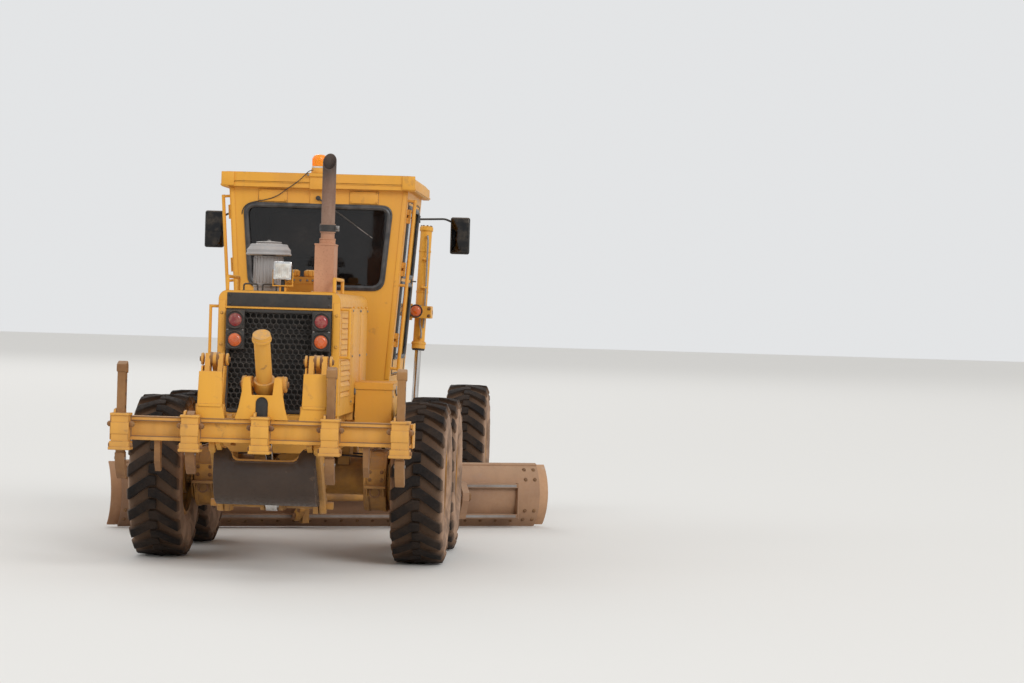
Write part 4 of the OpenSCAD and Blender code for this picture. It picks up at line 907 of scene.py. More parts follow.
plates = []
for s in (-1, 1):
    plates += [
        slab((s * 0.278, cab_rear - 0.012, 3.046), (s * 0.530, cab_rear + 0.002, 3.154), 0.006, yellow),
        slab((s * 0.271, cab_rear - 0.003, 3.040), (s * 0.537, cab_rear + 0.002, 3.160), 0.002, dirty_yellow),
        slab((s * 0.744, cab_rear - 0.074, 3.176), (s * 0.858, cab_rear - 0.052, 3.298), 0.004, yellow),
        slab((s * 0.795, cab_rear - 0.066, 3.166), (s * 0.856, cab_front + 0.152, 3.178), 0.003, yellow),
        slab((s * 0.852, cab_rear - 0.066, 3.172), (s * 0.858, cab_front + 0.152, 3.262), 0.002, yellow),
    ]
plates += [
    slab((-0.075, cab_rear - 0.010, 3.034), (0.075, cab_rear + 0.002, 3.172), 0.003, yellow),
    slab((-0.075, cab_rear - 0.068, 3.160), (0.075, cab_rear - 0.058, 3.292), 0.003, yellow),
    slab((-0.744, cab_rear - 0.066, 3.208), (0.744, cab_rear - 0.056, 3.216), 0.003, yellow),
    slab((-0.105, cab_rear - 0.080, 3.270), (0.105, cab_rear - 0.060, 3.304), 0.003, yellow),
    slab((-0.105, cab_rear - 0.080, 3.298), (0.105, cab_rear + 0.120, 3.304), 0.003, yellow),
    bolts([(x, cab_rear - 0.080, 3.286) for x in (-0.088, 0.088)], back_way, 0.008, bare_metal),
    bolts([(s * x, cab_rear - 0.012, z) for s in (-1, 1) for x in (0.292, 0.516) for z in (3.06, 3.14)], back_way,
          0.006, yellow),
]
for s in (-1, 1):
    low, high = s * (wall_x(1.50) - 0.045), s * (wall_x(3.16) - 0.045)
    plates.append(cut_plate([(low, 1.50), (low + s * 0.036, 1.50), (high + s * 0.036, 3.16), (high, 3.16)], "Y",
                            cab_rear - 0.005, cab_rear + 0.001, 0.002, yellow))
mounted(gathered("cab_rear_pressings", plates), "front")

# The beacon: an amber dome with moulded ribs over a white ring on a yellow base, the
# lamp and mirror drum showing inside.
amber_dome, tree, shader, place = blank("amber_dome")
dust = stepped(tree, speckle(tree, place, 40, 5), 0.4, 0.8)
tree.links.new(mixed(tree, times(tree, dust, 0.3), (0.95, 0.36, 0.004, 1), (0.72, 0.34, 0.04, 1)),
               shader.inputs["Base Color"])
tree.links.new(stepped(tree, dust, 0, 1, 0.12, 0.4), shader.inputs["Roughness"])
shader.inputs["Transmission Weight"].default_value = 0.45
shader.inputs["Emission Color"].default_value = (1.0, 0.30, 0.005, 1)
shader.inputs["Emission Strength"].default_value = 0.14
beacon_parts = [
    spun([(0.0001, 0.0), (0.073, 0.0), (0.075, 0.006), (0.072, 0.042), (0.068, 0.050), (0.0001, 0.050)], yellow, 48,
         "Z"),
    spun([(0.060, 0.050), (0.070, 0.050), (0.071, 0.054), (0.070, 0.064), (0.060, 0.066)], frosted, 48, "Z"),
    spun([(0.0635, 0.066), (0.066, 0.072), (0.064, 0.120), (0.060, 0.148), (0.050, 0.162), (0.030, 0.170),
          (0.0001, 0.172)], amber_dome, 48, "Z"),
    spun([(0.0001, 0.066), (0.026, 0.068), (0.026, 0.110), (0.010, 0.122), (0.0001, 0.124)], chrome, 32, "Z"),
]
dome_rib = slab((0.060, -0.0025, 0.070), (0.0675, 0.0025, 0.140), 0.001, amber_dome)
beacon_parts += [copied(dome_rib, Matrix.Rotation(i * math.pi / 10, 4, "Z")) for i in range(20)]
bpy.data.objects.remove(dome_rib)
beacon_parts.append(bolts([(0.060 * math.cos(a), 0.060 * math.sin(a), 0.046) for a in (0.5, 2.6, 4.7)], up_way, 0.005,
                          bare_metal))
beacon_parts = [moved(part, (0.0, cab_rear + 0.030, 3.302)) for part in beacon_parts]
beacon_piece = mounted(gathered("amber_beacon", beacon_parts), "front")
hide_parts("beacon")

# Door furniture: three bolted hinge leaves, a black latch with its handle, a pull bar
# inside, and the rubber edge that shows as a dark line round the door.
for name, side in sides:
    edge_line = [side_wall(side, 0.001)(a, b) for a, b in box_of(door_y0 + 0.004, 1.552, door_y1 - 0.004, 3.084)]
    parts = [tube(edge_line, 0.006, seal_rubber, closed=True, resolution=1)]
    for z in (1.850, 2.480, 2.950):
        wall = wall_x(z)
        parts += [
            slab((side * (wall - 0.002), door_y0 + 0.012, z - 0.034),
                 (side * (wall + 0.006), door_y0 + 0.062, z + 0.034), 0.003, dirty_yellow),
            bolts([(side * (wall + 0.006), door_y0 + 0.038, z + dz) for dz in (-0.02, 0.02)], (side, 0, 0), 0.007,
                  bare_metal),
        ]
    latch_x, low_x, high_x = wall_x(2.39), wall_x(1.95), wall_x(2.35)
    parts += [
        slab((side * (latch_x - 0.004), door_y1 - 0.150, 2.362), (side * (latch_x + 0.012), door_y1 - 0.030, 2.418),
             0.006, black),
        tube([(side * (latch_x + 0.006), door_y1 - 0.135, 2.39), (side * (latch_x + 0.040), door_y1 - 0.120, 2.39),
              (side * (latch_x + 0.040), door_y1 - 0.045, 2.39)], 0.007, black, 0.012),
        tube([(side * (low_x - 0.060), door_y1 - 0.050, 1.95), (side * (low_x - 0.105), door_y1 - 0.050, 1.97),
              (side * (high_x - 0.105), door_y1 - 0.050, 2.33), (side * (high_x - 0.060), door_y1 - 0.050, 2.35)],
             0.009, black, 0.03),
    ]
    mounted(gathered("door_furniture_" + name, parts), f"door_{name}")

# The mirrors: tall convex glass in rounded black housings, each on a bent tube with a
# clamp, carried by a bracket at the cab's front corner.
mirror_glass = patchy("mirror_glass", 14, 6, (0.030, 0.030, 0.031), (0.095, 0.078, 0.062), (0.03, 0.3), (0.4, 0.8), 1)
mirror_parts = []
foot_x = wall_x(2.98)
for side in (-1, 1):
    housing = slab((side * 1.072, cab_front + 0.034, 2.664), (side * 1.256, cab_front + 0.078, 3.012), 0.0, black)
    mirror_parts += [
        finished(housing, "BEVEL", width=0.020, segments=4),
        slab((side * 1.084, cab_front + 0.029, 2.680), (side * 1.244, cab_front + 0.036, 2.998), 0.003, mirror_glass),
        tube([(side * (foot_x + 0.006), cab_front - 0.060, 2.980), (side * 1.02, cab_front + 0.030, 2.992),
              (side * 1.10, cab_front + 0.094, 2.960), (side * 1.165, cab_front + 0.094, 2.900),
              (side * 1.165, cab_front + 0.094, 2.740)], 0.010, black, 0.03),
        slab((side * (foot_x - 0.001), cab_front - 0.085, 2.945), (side * (foot_x + 0.010), cab_front - 0.035, 3.015),
             0.003, black),
        bolts([(side * (foot_x + 0.010), cab_front - 0.060, z) for z in (2.955, 3.005)], (side, 0, 0), 0.006,
              bare_metal),
        slab((side * 1.145, cab_front + 0.076, 2.800), (side * 1.185, cab_front + 0.104, 2.850), 0.004, black),
    ]
mirror_piece = mounted(gathered("cab_mirrors", mirror_parts), "front")
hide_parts("mirrors")

# Inside the cab: the headliner, a floor mat, the instrument pod with its dials, a bent
# steering column with a padded wheel, and two rows of control levers with round knobs.
def round_about(count, radius, first=0.0):
    """Places evenly round a circle, as pairs. first is the first one's share of a step."""
    turns = [(k + first) * math.pi / (count / 2) for k in range(count)]
    return [(radius * math.cos(a), radius * math.sin(a)) for a in turns]


trim = coat("cab_trim", (0.045, 0.040, 0.038), (0.060, 0.052, 0.046), dust=(0.16, 0.11, 0.08), dusty=0.5, dirty=0.0,
            worn=(0.05, 0.045, 0.04), wear=0.1, rough=0.7, grain=0.25)
knob_red = clear_plastic("red_knob", (0.30, 0.02, 0.015), 0.35)
cabin = [
    slab((-0.715, cab_rear + 0.055, 3.108), (0.715, cab_front - 0.055, 3.122), 0.004, trim),
    slab((-0.600, cab_rear + 0.055, 1.500), (0.600, cab_front - 0.055, 1.512), 0.004, trim),
    slab((-0.160, 0.020, 2.150), (0.160, 0.160, 2.290), 0.030, trim),
]
for x, r in ((-0.090, 0.032), (0.0, 0.040), (0.090, 0.032)):
    cabin += [
        drum((x, 0.024, 2.225), (x, 0.012, 2.228), r, 0.003, bare_metal, 24),
        drum((x, 0.014, 2.225), (x, 0.010, 2.226), r * 0.82, 0.001, frosted, 24),
    ]
column_top = Vector((0.0, -0.215, 2.240))
hand_wheel = [column_top + Vector((a, b * 0.9, b * 0.45)) for a, b in round_about(32, 0.190)]
cabin += [
    tube([(0.0, -0.060, 1.510), (0.0, -0.100, 1.900), column_top], 0.028, trim, 0.05),
    tube(hand_wheel, 0.014, trim, closed=True),
    *[tube([column_top, hand_wheel[(i * 32) // 3]], 0.009, bare_metal) for i in range(3)],
]
knob_outline = [(0.0001, 0.020), (0.012, 0.017), (0.018, 0.006), (0.018, -0.004), (0.010, -0.014), (0.0001, -0.016)]
for side in (-1, 1):
    for i in range(5):
        x, y = side * (0.130 + i * 0.046), -0.150 + i * 0.010
        cabin += [
            tube([(x, y + 0.08, 1.86), (x, y + 0.03, 2.10), (x, y - 0.03, 2.30)], 0.006, bare_metal, 0.05),
            moved(spun(knob_outline, knob_red if i == 4 else trim, 16, "Z"), (x, y - 0.03, 2.312)),
        ]
    cabin += [
        slab((side * 0.110, -0.130, 1.780), (side * 0.350, 0.000, 1.880), 0.020, trim),
        slab((side * 0.200, -0.110, 1.510), (side * 0.260, -0.040, 1.790), 0.008, trim),
    ]
cabin_piece = mounted(gathered("cab_controls", cabin), "front")
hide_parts("controls")

# Work lamps under the roof's front: round clear lenses in black rings, each hung by two
# bolts in its yellow body.
facing_front = Matrix.Rotation(-math.pi / 2, 4, "X")
roof_lamps = []
for s in (-1, 1):
    face = spun([(0.0001, 0.016), (0.030, 0.014), (0.052, 0.006), (0.058, -0.002)], frosted, 32, "Z")
    ring = spun([(0.056, -0.004), (0.057, 0.006), (0.062, 0.008), (0.0655, 0.002), (0.0655, -0.050), (0.062, -0.052)],
                black, 32, "Z")
    roof_lamps += [moved(part, (s * 0.600, cab_front + 0.131, 3.095), facing_front) for part in (face, ring)]
    roof_lamps.append(bolts([(s * 0.600 + dx, cab_front + 0.095, 3.148) for dx in (-0.028, 0.028)], (0, 0, -1), 0.007,
                            bare_metal))
mounted(gathered("roof_work_lamps", roof_lamps), "front")

# Roof top: a hatch lid with a drip edge, held by six bolts, and a round rain gutter
# along each side.
roof_parts = [slab((-0.330, -0.850, 3.299), (0.330, -0.190, 3.309), 0.005, yellow),
              bolts([(x, y, 3.309) for x in (-0.30, 0.30) for y in (-0.82, -0.52, -0.22)], up_way, 0.009, bare_metal)]
for s in (-1, 1):
    roof_parts.append(tube([(s * 0.858, cab_rear - 0.055, 3.182), (s * 0.858, cab_front + 0.145, 3.182)], 0.009,
                           yellow))
mounted(gathered("roof_fittings", roof_parts), "front")

# The ripper's lower link: one wide bent plate between two yellow arms, with a shallow
# rounded recess in its upper edge and rolled lips, dark brown with road dirt and painted shade.
def hoop(section, finish, steps=36, axis="X"):
    """A ring spun from a closed section."""
    return spun(section + section[:1], finish, steps, axis)


pivot_low, eye_low = (-3.990, 0.550), (-4.530, 1.040)
apron = [(-4.515, 1.010), (-4.548, 0.930), (-4.560, 0.840), (-4.545, 0.745), (-4.500, 0.660), (-4.430, 0.600),
         (-4.340, 0.570), (-4.250, 0.566), (-4.170, 0.575)]
columns, recess, recess_half = 33, 0.100, 0.300
points, faces = [], []
for i in range(columns):
    x = -0.395 + 0.79 * i / (columns - 1)
    dip = recess * (1 - min(1.0, max(0.0, abs(x) / recess_half - 0.80) / 0.20)) ** 1.6
    # The recess takes down the top edge, and the row below it by a third as much.
    for (y, z), share in zip(apron, [1, 0.35] + [0] * len(apron)):
        points.append((x, y, z - dip * share))
for i in range(columns - 1):
    for j in range(len(apron) - 1):
        a = i * len(apron) + j
        faces.append((a, a + 1, a + 1 + len(apron), a + len(apron)))
mesh = bpy.data.meshes.new("apron")
mesh.from_pydata(points, [], faces)
apron_plate = added("apron", mesh)
facing_out(apron_plate)
finished(apron_plate, "SOLIDIFY", thickness=0.018, offset=0)
eased(apron_plate, 0.003, 1, 50)
apron_plate.data.materials.append(dirt_and_shade)
link_parts = [
    apron_plate,
    tube([(-0.395, -4.515, 1.012), (-0.300, -4.515, 1.012), (-0.262, -4.520, 0.945), (-0.215, -4.522, 0.914),
          (0.215, -4.522, 0.914), (0.262, -4.520, 0.945), (0.300, -4.515, 1.012), (0.395, -4.515, 1.012)],
         0.011, dirty_yellow, 0.05),
    tube([(-0.395, -4.172, 0.575), (0.395, -4.172, 0.575)], 0.012, dirt_and_shade),
]
boss_section = [(0.033, -0.026), (0.062, -0.026), (0.067, -0.020), (0.067, 0.020), (0.062, 0.026), (0.033, 0.026)]
web = apron[:-1] + [(-4.170, 0.578), (-4.080, 0.610), (-4.290, 0.800), (-4.430, 0.925), (-4.490, 0.985)]
lean = math.atan2(eye_low[1] - pivot_low[1], eye_low[0] - pivot_low[0])
for side in (-1, 1):
    outline = []
    for (y, z), start in ((pivot_low, lean + math.pi / 2), (eye_low, lean - math.pi / 2)):
        for a in [start + k * math.pi / 12 for k in range(13)]:
            outline.append((y + 0.062 * math.cos(a), z + 0.062 * math.sin(a)))
    link_parts.append(cut_plate(outline, "X", side * 0.385, side * 0.425, 0.004, dirty_yellow))
    link_parts += [moved(hoop(boss_section, dirty_yellow), (side * 0.405, *centre))
                   for centre in (pivot_low, eye_low)]
    link_parts.append(cut_plate(web, "X", side * 0.379, side * 0.388, 0.002, dirt_and_shade))
lower_link = mounted(gathered("ripper_apron_link", link_parts), "ripper_link")
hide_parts("ripper_lower_link")

# The ripper beam's trim: bolted end plates, welded holder caps with wedges and cross
# pins, a nut at each pin, and weld beads where the towers stand on the beam.
beam_y, beam_low, beam_high = -4.710, 1.060, 1.240
beam_back = beam_y - 0.095
holder_pitch = 0.533
weld_metal = coat("weld_metal", (0.33, 0.17, 0.060), (0.22, 0.12, 0.06), dusty=0.5, dirty=0.4, wear=0.9, rough=0.6,
                  grain=0.6)
trim_parts = []
for x in [i * holder_pitch for i in range(-2, 3)]:
    trim_parts += [
        slab((x - 0.074, beam_back - 0.122, beam_high + 0.006), (x + 0.074, beam_back + 0.028, beam_high + 0.026),
             0.005, dirty_yellow),
        slab((x - 0.083, beam_back - 0.128, beam_low - 0.076), (x + 0.083, beam_back + 0.030, beam_low - 0.052),
             0.005, dirty_yellow),
        slab((x - 0.070, beam_back - 0.116, beam_low + 0.045), (x + 0.070, beam_back - 0.108, beam_high - 0.045),
             0.004, dirty_yellow),
    ]
    for s in (-1, 1):
        y, z = beam_back - 0.055, beam_low - 0.040
        pin = (x + s * 0.066, y, beam_high - 0.060)
        pin_end = (pin[0] + s * 0.030, y, pin[2])
        trim_parts += [
            drum(pin, pin_end, 0.022, 0.004, rusty, 24),
            bolts([pin_end], (s, 0, 0), 0.013, rusty),
            drum((x + s * 0.066, y, z), (x + s * 0.092, y, z), 0.017, 0.003, rusty, 20),
        ]
    trim_parts.append(cut_plate([
        (beam_back - 0.100, beam_high + 0.024), (beam_back - 0.030, beam_high + 0.024),
        (beam_back - 0.020, beam_high + 0.060), (beam_back - 0.085, beam_high + 0.052),
    ], "X", x - 0.052, x - 0.034, 0.003, dirty_yellow))
    trim_parts += [tube([(x + dx * 1.12, beam_back + 0.004, beam_low + 0.02),
                         (x + dx * 1.12, beam_back + 0.002, beam_high - 0.004)], 0.006, weld_metal)
                   for dx in (-0.060, 0.060)]
for s in (-1, 1):
    trim_parts.append(slab((s * 1.150, beam_y - 0.098, beam_low - 0.004),
                           (s * 1.160, beam_y + 0.098, beam_high + 0.004), 0.003, dirty_yellow))
    trim_parts += [tube([(s * x0, y, z), (s * x1, y, z)], r, weld_metal) for x0, x1, y, z, r in (
        (0.20, 1.12, beam_back - 0.001, beam_high - 0.001, 0.0055),
        (0.30, 0.50, beam_y - 0.090, beam_high + 0.002, 0.007),
        (0.04, 1.14, beam_back + 0.002, beam_low + 0.030, 0.0045),
        (0.04, 1.14, beam_back + 0.002, beam_high - 0.030, 0.0045),
    )]
mounted(gathered("ripper_beam_trim", trim_parts), "ripper")

# The three towers: outer ones are folded boxes that flare onto the beam, with a rusty
# roller between their cheeks; the middle one has a round-topped slot and thick collars.
roller_y, roller_z = -4.580, 1.690
towers = []
for s in (-1, 1):
    x = s * 0.400
    towers += [
        cut_plate([(x - 0.118, beam_high + 0.001), (x + 0.118, beam_high + 0.001), (x + 0.096, 1.345),
                   (x + 0.088, 1.600), (x - 0.088, 1.600), (x - 0.096, 1.345)], "Y", beam_y - 0.100, beam_y - 0.084,
                  0.004, yellow),
        slab((x - 0.088, beam_y - 0.108, 1.330), (x + 0.088, beam_y - 0.098, 1.352), 0.003, yellow),
    ]
    for dx in (-0.090, 0.080):
        towers.append(cut_plate([(beam_y - 0.086, 1.245), (beam_y + 0.088, 1.245), (beam_y + 0.178, 1.640),
                                 (beam_y + 0.060, 1.640)],
                                "X", x + dx - 0.006, x + dx + 0.006, 0.003, yellow))
    roller = hoop([(0.030, -0.040), (0.052, -0.038), (0.056, -0.030), (0.046, 0.0), (0.056, 0.030), (0.052, 0.038),
                   (0.030, 0.040)], rusty, 32)
    towers.append(moved(roller, (x, roller_y, roller_z)))
    for dx in (-0.086, 0.086):
        collar_end = (x + dx * 1.22, roller_y, roller_z)
        towers += [drum((x + dx, roller_y, roller_z), collar_end, 0.047, 0.004, dirty_yellow, 32),
                   bolts([collar_end], (dx, 0, 0), 0.020, rusty)]
middle_y, middle_z = -4.680, 1.510
for s in (-1, 1):
    collar = hoop([(0.028, 0.0), (0.058, 0.0), (0.062, 0.005), (0.062, 0.030), (0.056, 0.036), (0.028, 0.036)],
                  dirty_yellow)
    towers += [moved(collar, (s * 0.136 - (0.036 if s < 0 else 0), middle_y, middle_z)),
               bolts([(s * 0.172, middle_y, middle_z)], (s, 0, 0), 0.024, rusty)]
# The middle tower's cover: an arch cut out at its foot, and a notch in its top for the cylinder.
arch = [(0.047 * math.cos(a), 1.368 + 0.047 * math.sin(a)) for a in [k * math.pi / 12 for k in range(13)]]
edge = [(0.205, 1.243), (0.178, 1.330), (0.156, 1.450), (0.150, 1.545), (0.136, 1.566), (0.092, 1.566),
        (0.080, 1.430)]
cover = [(0.047, 1.243)] + edge + [(-x, z) for x, z in edge[::-1]] + [(-0.047, 1.243)] + arch[::-1]
towers += [
    cut_plate(cover, "Y", beam_y - 0.116, beam_y - 0.100, 0.004, yellow),
    # Behind the arch, a black plate: painted shade in the slot.
    cut_plate([(-0.055, 1.242), (0.055, 1.242), (0.055, 1.425), (-0.055, 1.422)], "Y", beam_y - 0.101,
              beam_y - 0.0955, 0, black),
]
for s in (-1, 1):
    towers.append(cut_plate([(beam_y - 0.102, 1.400), (beam_y - 0.102, 1.560), (beam_y + 0.030, 1.575),
                             (beam_y + 0.030, 1.430)], "X", s * 0.137, s * 0.149, 0.003, yellow))
mounted(gathered("ripper_towers", towers), "ripper")

# Shanks: forged blades with a rounded head, three cross pins, and a worn pointed shoe
# that is held by a pin of its own. The one at place -1 sits lower in its holder.
shank_parts = []
for place, top, low in ((-2, 1.650, 0.770), (1, 1.650, 0.770), (2, 1.650, 0.770), (-1, 1.290, 0.820)):
    x, y = place * holder_pitch, beam_back - 0.001
    shank_parts += [
        cut_plate([(y - 0.095, low + 0.195), (y - 0.062, low + 0.080), (y + 0.030, low - 0.012),
                   (y + 0.078, low + 0.010), (y + 0.020, low + 0.130), (y + 0.004, low + 0.200)], "X", x - 0.036,
                  x + 0.036, 0.006, rusty),
        drum((x - 0.044, y - 0.042, low + 0.150), (x + 0.044, y - 0.042, low + 0.150), 0.013, 0.002, bare_metal, 20),
    ]
    if top > 1.5:
        shank_parts.append(cut_plate([(y - 0.096, top - 0.072), (y - 0.092, top - 0.012), (y - 0.018, top + 0.012),
                                      (y + 0.006, top - 0.026), (y + 0.004, top - 0.085)],
                                     "X", x - 0.038, x + 0.038, 0.008, rusty))
        for z in (top - 0.14, top - 0.24, top - 0.34):
            shank_parts.append(drum((x - 0.0315, y - 0.045, z), (x + 0.0315, y - 0.045, z), 0.016, 0.002, dirt_and_shade, 20))
mounted(gathered("shank_shoes_and_heads", shank_parts), "ripper")

# The ripper cylinder: a ring round each end of its barrel, a rounded cap, and two welded
# ports that a black steel pipe joins along its back.
cyl_top = Vector((0.0, -4.680, 1.510))
cyl_axis = (Vector((0.0, *pivot_low)) - cyl_top).normalized()
cyl_turn = cyl_axis.to_track_quat("Z", "Y").to_matrix().to_4x4()
cyl_outward = cyl_axis.cross(Vector((1, 0, 0))).normalized()


def by_cylinder(along, out):
    """A point beside the cylinder: along its axis from the top pin, and out from it."""
    return cyl_top + cyl_axis * along + cyl_outward * out


ring_section = [(0.062, -0.014), (0.0735, -0.012), (0.0755, 0.0), (0.0735, 0.012), (0.062, 0.014)]
cap_end = spun([(0.0001, -0.012), (0.050, -0.012), (0.062, -0.006), (0.066, 0.004), (0.066, 0.020)], dirty_yellow, 40,
               "Z")
mounted(gathered("ripper_cylinder_fittings", [
    *[moved(spun(ring_section, dirty_yellow, 40, "Z"), by_cylinder(along, 0.0), cyl_turn)
      for along in (-0.430, 0.205)],
    moved(cap_end, by_cylinder(-0.438, 0.0), cyl_turn),
    tube([by_cylinder(-0.380, -0.060), by_cylinder(-0.380, -0.100), by_cylinder(-0.160, -0.100),
          by_cylinder(0.150, -0.092)], 0.010, black, 0.03),
    *[drum(by_cylinder(along, -0.055), by_cylinder(along, -0.082), 0.018, 0.003, bare_metal, 20)
      for along in (-0.380, -0.10)],
]), "ripper_barrel")

# The wheels' steel rims: a rolled lock ring outside and its twin inside, ten studs and
# nuts on the dished disc, a stepped hub cover held by eight bolts, and the tyre's valve.
lock_section = [(0.298, 0.150), (0.298, 0.168), (0.311, 0.176), (0.326, 0.183), (0.333, 0.178), (0.331, 0.168),
                (0.317, 0.156)]
wheel_trim = gathered("wheel_trim", [
    hoop(lock_section, dirty_yellow, 72),
    hoop([(r, -along) for r, along in lock_section], dirty_yellow, 72),
    spun([(0.0001, 0.152), (0.046, 0.152), (0.056, 0.146), (0.062, 0.134), (0.064, 0.124), (0.099, 0.122),
          (0.105, 0.116), (0.112, 0.084), (0.112, 0.070), (0.0001, 0.070)], dirty_yellow, 48),
    hoop([(0.130, 0.079), (0.134, 0.090), (0.142, 0.092), (0.190, 0.092), (0.198, 0.088), (0.202, 0.079)],
         dirty_yellow, 64),
    drum((0.070, 0.0, 0.262), (0.112, 0.0, 0.268), 0.0055, 0.001, bare_metal, 16),
    drum((0.108, 0.0, 0.2675), (0.124, 0.0, 0.270), 0.008, 0.001, black, 16),
    bolts([(0.091, a, b) for a, b in round_about(10, 0.166)], right_way, 0.017, rusty),
    bolts([(0.1205, a, b) for a, b in round_about(8, 0.083, 0.5)], right_way, 0.010, rusty),
])


def to_side(part, sign):
    """The part, made for the right side, is mirrored where it goes on the left."""
    part.data.transform(Matrix.Scale(sign, 4, (1, 0, 0)))
    if sign < 0:
        part.data.flip_normals()
    return part


for end, y in wheel_y.items():
    for name, sign in sides:
        piece = moved(to_side(copied(wheel_trim, Matrix()), sign), (sign * wheel_x, y, tyre_r),
                      Matrix.Rotation(0.9 * y, 4, "X"))
        piece.name = piece.data.name = f"rim_fittings_{end}_{name}"
        mounted(piece, f"wheel_{end}_{name}")
bpy.data.objects.remove(wheel_trim)

# The tandem cases: bolted hub flanges, an oil filler, a row of cover bolts along each
# wall, and a tow bracket with its ring welded to each rear end.
tandem_y = -1.840
flange_section = [(0.148, 0.0), (0.196, 0.0), (0.202, 0.005), (0.202, 0.014), (0.197, 0.019), (0.148, 0.019)]
rear_end = wheel_y["rear"] - 0.253
for name, sign in sides:
    parts = []
    for y in (wheel_y["rear"], wheel_y["mid"]):
        studs = bolts([(0.019, a, b) for a, b in round_about(12, 0.176)], right_way, 0.011, rusty)
        flange = to_side(gathered("flange", [hoop(flange_section, dirty_yellow, 48), studs]), sign)
        parts.append(moved(flange, (sign * 0.8145, y, tyre_r)))
    cover_bolts = [(sign * 0.816, tandem_y + dy, z) for dy in (-0.42, -0.28, -0.14, 0.0, 0.14, 0.28, 0.42)
                   for z in (0.470, 0.880)]
    parts += [
        bolts(cover_bolts, (sign, 0, 0), 0.011, rusty),
        slab((sign * 0.814, tandem_y - 0.36, 0.560), (sign * 0.822, tandem_y + 0.36, 0.790), 0.003, dirty_yellow),
        drum((sign * 0.714, tandem_y + 0.33, 0.925), (sign * 0.714, tandem_y + 0.33, 0.962), 0.030, 0.004, rusty, 8),
        drum((sign * 0.714, tandem_y - 0.33, 0.925), (sign * 0.714, tandem_y - 0.33, 0.975), 0.016, 0.003, rusty, 20),
        slab((sign * 0.640, rear_end - 0.012, 0.560), (sign * 0.790, rear_end + 0.030, 0.790), 0.005, dirty_yellow),
        slab((sign * 0.625, rear_end - 0.085, 0.628), (sign * 0.805, rear_end + 0.005, 0.652), 0.005, dirty_yellow),
    ]
    for x in (0.640, 0.778):
        parts.append(cut_plate([(rear_end - 0.078, 0.630), (rear_end + 0.006, 0.630), (rear_end + 0.006, 0.550)], "X",
                               sign * x, sign * (x + 0.014), 0.002, dirty_yellow))
    parts += [
        tube([(sign * (0.714 + a), rear_end - 0.055, 0.598 + b) for a, b in round_about(24, 0.040)], 0.008, rusty,
             closed=True),
        bolts([(sign * x, rear_end - 0.013, z) for x in (0.665, 0.765) for z in (0.700, 0.765)], back_way, 0.012,
              rusty),
    ]
    mounted(gathered("tandem_fittings_" + name, parts), "rear")

# The rear axle between the tandems: a bolted banjo cover on its back, brake pipes along
# the housing, and bolts round the housing where it meets each tandem.
banjo = spun([(0.0001, 0.046), (0.080, 0.044), (0.150, 0.030), (0.205, 0.010), (0.250, 0.006), (0.254, 0.0),
              (0.254, -0.012), (0.0001, -0.012)], dirty_yellow, 56)
axle_parts = [
    moved(banjo, (0, tandem_y - 0.262, tyre_r), Matrix.Rotation(-math.pi / 2, 4, "Z")),
    bolts([(a, tandem_y - 0.270, tyre_r + b) for a, b in round_about(16, 0.232, 0.5)], back_way, 0.011, rusty),
]
for s in (-1, 1):
    axle_parts += [
        tube([(s * 0.06, tandem_y - 0.20, 0.945), (s * 0.20, tandem_y - 0.20, 0.935),
              (s * 0.30, tandem_y - 0.215, 0.860), (s * 0.545, tandem_y - 0.215, 0.850)], 0.009, black, 0.05),
        tube([(s * 0.06, tandem_y + 0.20, 0.945), (s * 0.30, tandem_y + 0.215, 0.860),
              (s * 0.545, tandem_y + 0.215, 0.850)], 0.009, black, 0.05),
    ]
    for first in (84, 51):
        turns = [math.radians(first + k * 24) for k in range(4)]
        axle_parts.append(bolts([(s * 0.611, tandem_y + 0.222 * math.cos(a), tyre_r + 0.222 * math.sin(a))
                                 for a in turns], (-s, 0, 0), 0.012, rusty))
mounted(gathered("rear_axle_fittings", axle_parts), "rear")

# The blade lift cylinders: a bolted cap and gland, welded ports joined by a steel pipe
# on clips, and rusty trunnion nuts. The saddle's turn lamps have amber lenses.
trunnion_z, lift_x, lift_y = 2.110, 0.735, 1.510
lift_way = Vector((0.034381, 0.068761, 0.997041))
band_section = [(0.0565, -0.009), (0.0605, -0.009), (0.0605, 0.009), (0.0565, 0.009)]
lift_model = gathered("lift_model", [
    spun([(0.0001, 0.852), (0.040, 0.852), (0.058, 0.846), (0.0655, 0.838), (0.0665, 0.806), (0.057, 0.800),
          (0.0001, 0.800)], yellow, 40, "Z"),
    hoop([(0.056, -0.296), (0.071, -0.298), (0.0725, -0.304), (0.0725, -0.316), (0.056, -0.318)], yellow, 40, "Z"),
    hoop([(0.034, -0.378), (0.058, -0.376), (0.062, -0.366), (0.062, -0.358), (0.034, -0.356)], black, 40, "Z"),
    bolts([(a, b, 0.851) for a, b in round_about(8, 0.050)], up_way, 0.008, rusty),
    *[drum((0, -0.050, z), (0, -0.092, z), 0.017, 0.003, yellow, 20) for z in (0.745, -0.255)],
    tube([(0, -0.078, 0.745), (0, -0.106, 0.745), (0.006, -0.106, 0.690), (0.020, -0.088, 0.20),
          (0.020, -0.088, -0.160)], 0.0085, bare_metal, 0.02),
    tube([(0, -0.078, -0.255), (0, -0.104, -0.255), (0, -0.108, -0.200), (-0.020, -0.088, -0.120),
          (-0.020, -0.088, 0.060)], 0.0085, bare_metal, 0.02),
    *[slab((-0.030, -0.098, z - 0.010), (0.034, -0.052, z + 0.010), 0.003, yellow) for z in (0.52, 0.24, -0.02)],
    *[moved(hoop(band_section, yellow, 40, "Z"), (0, 0, z)) for z in (0.20, 0.60)],
])
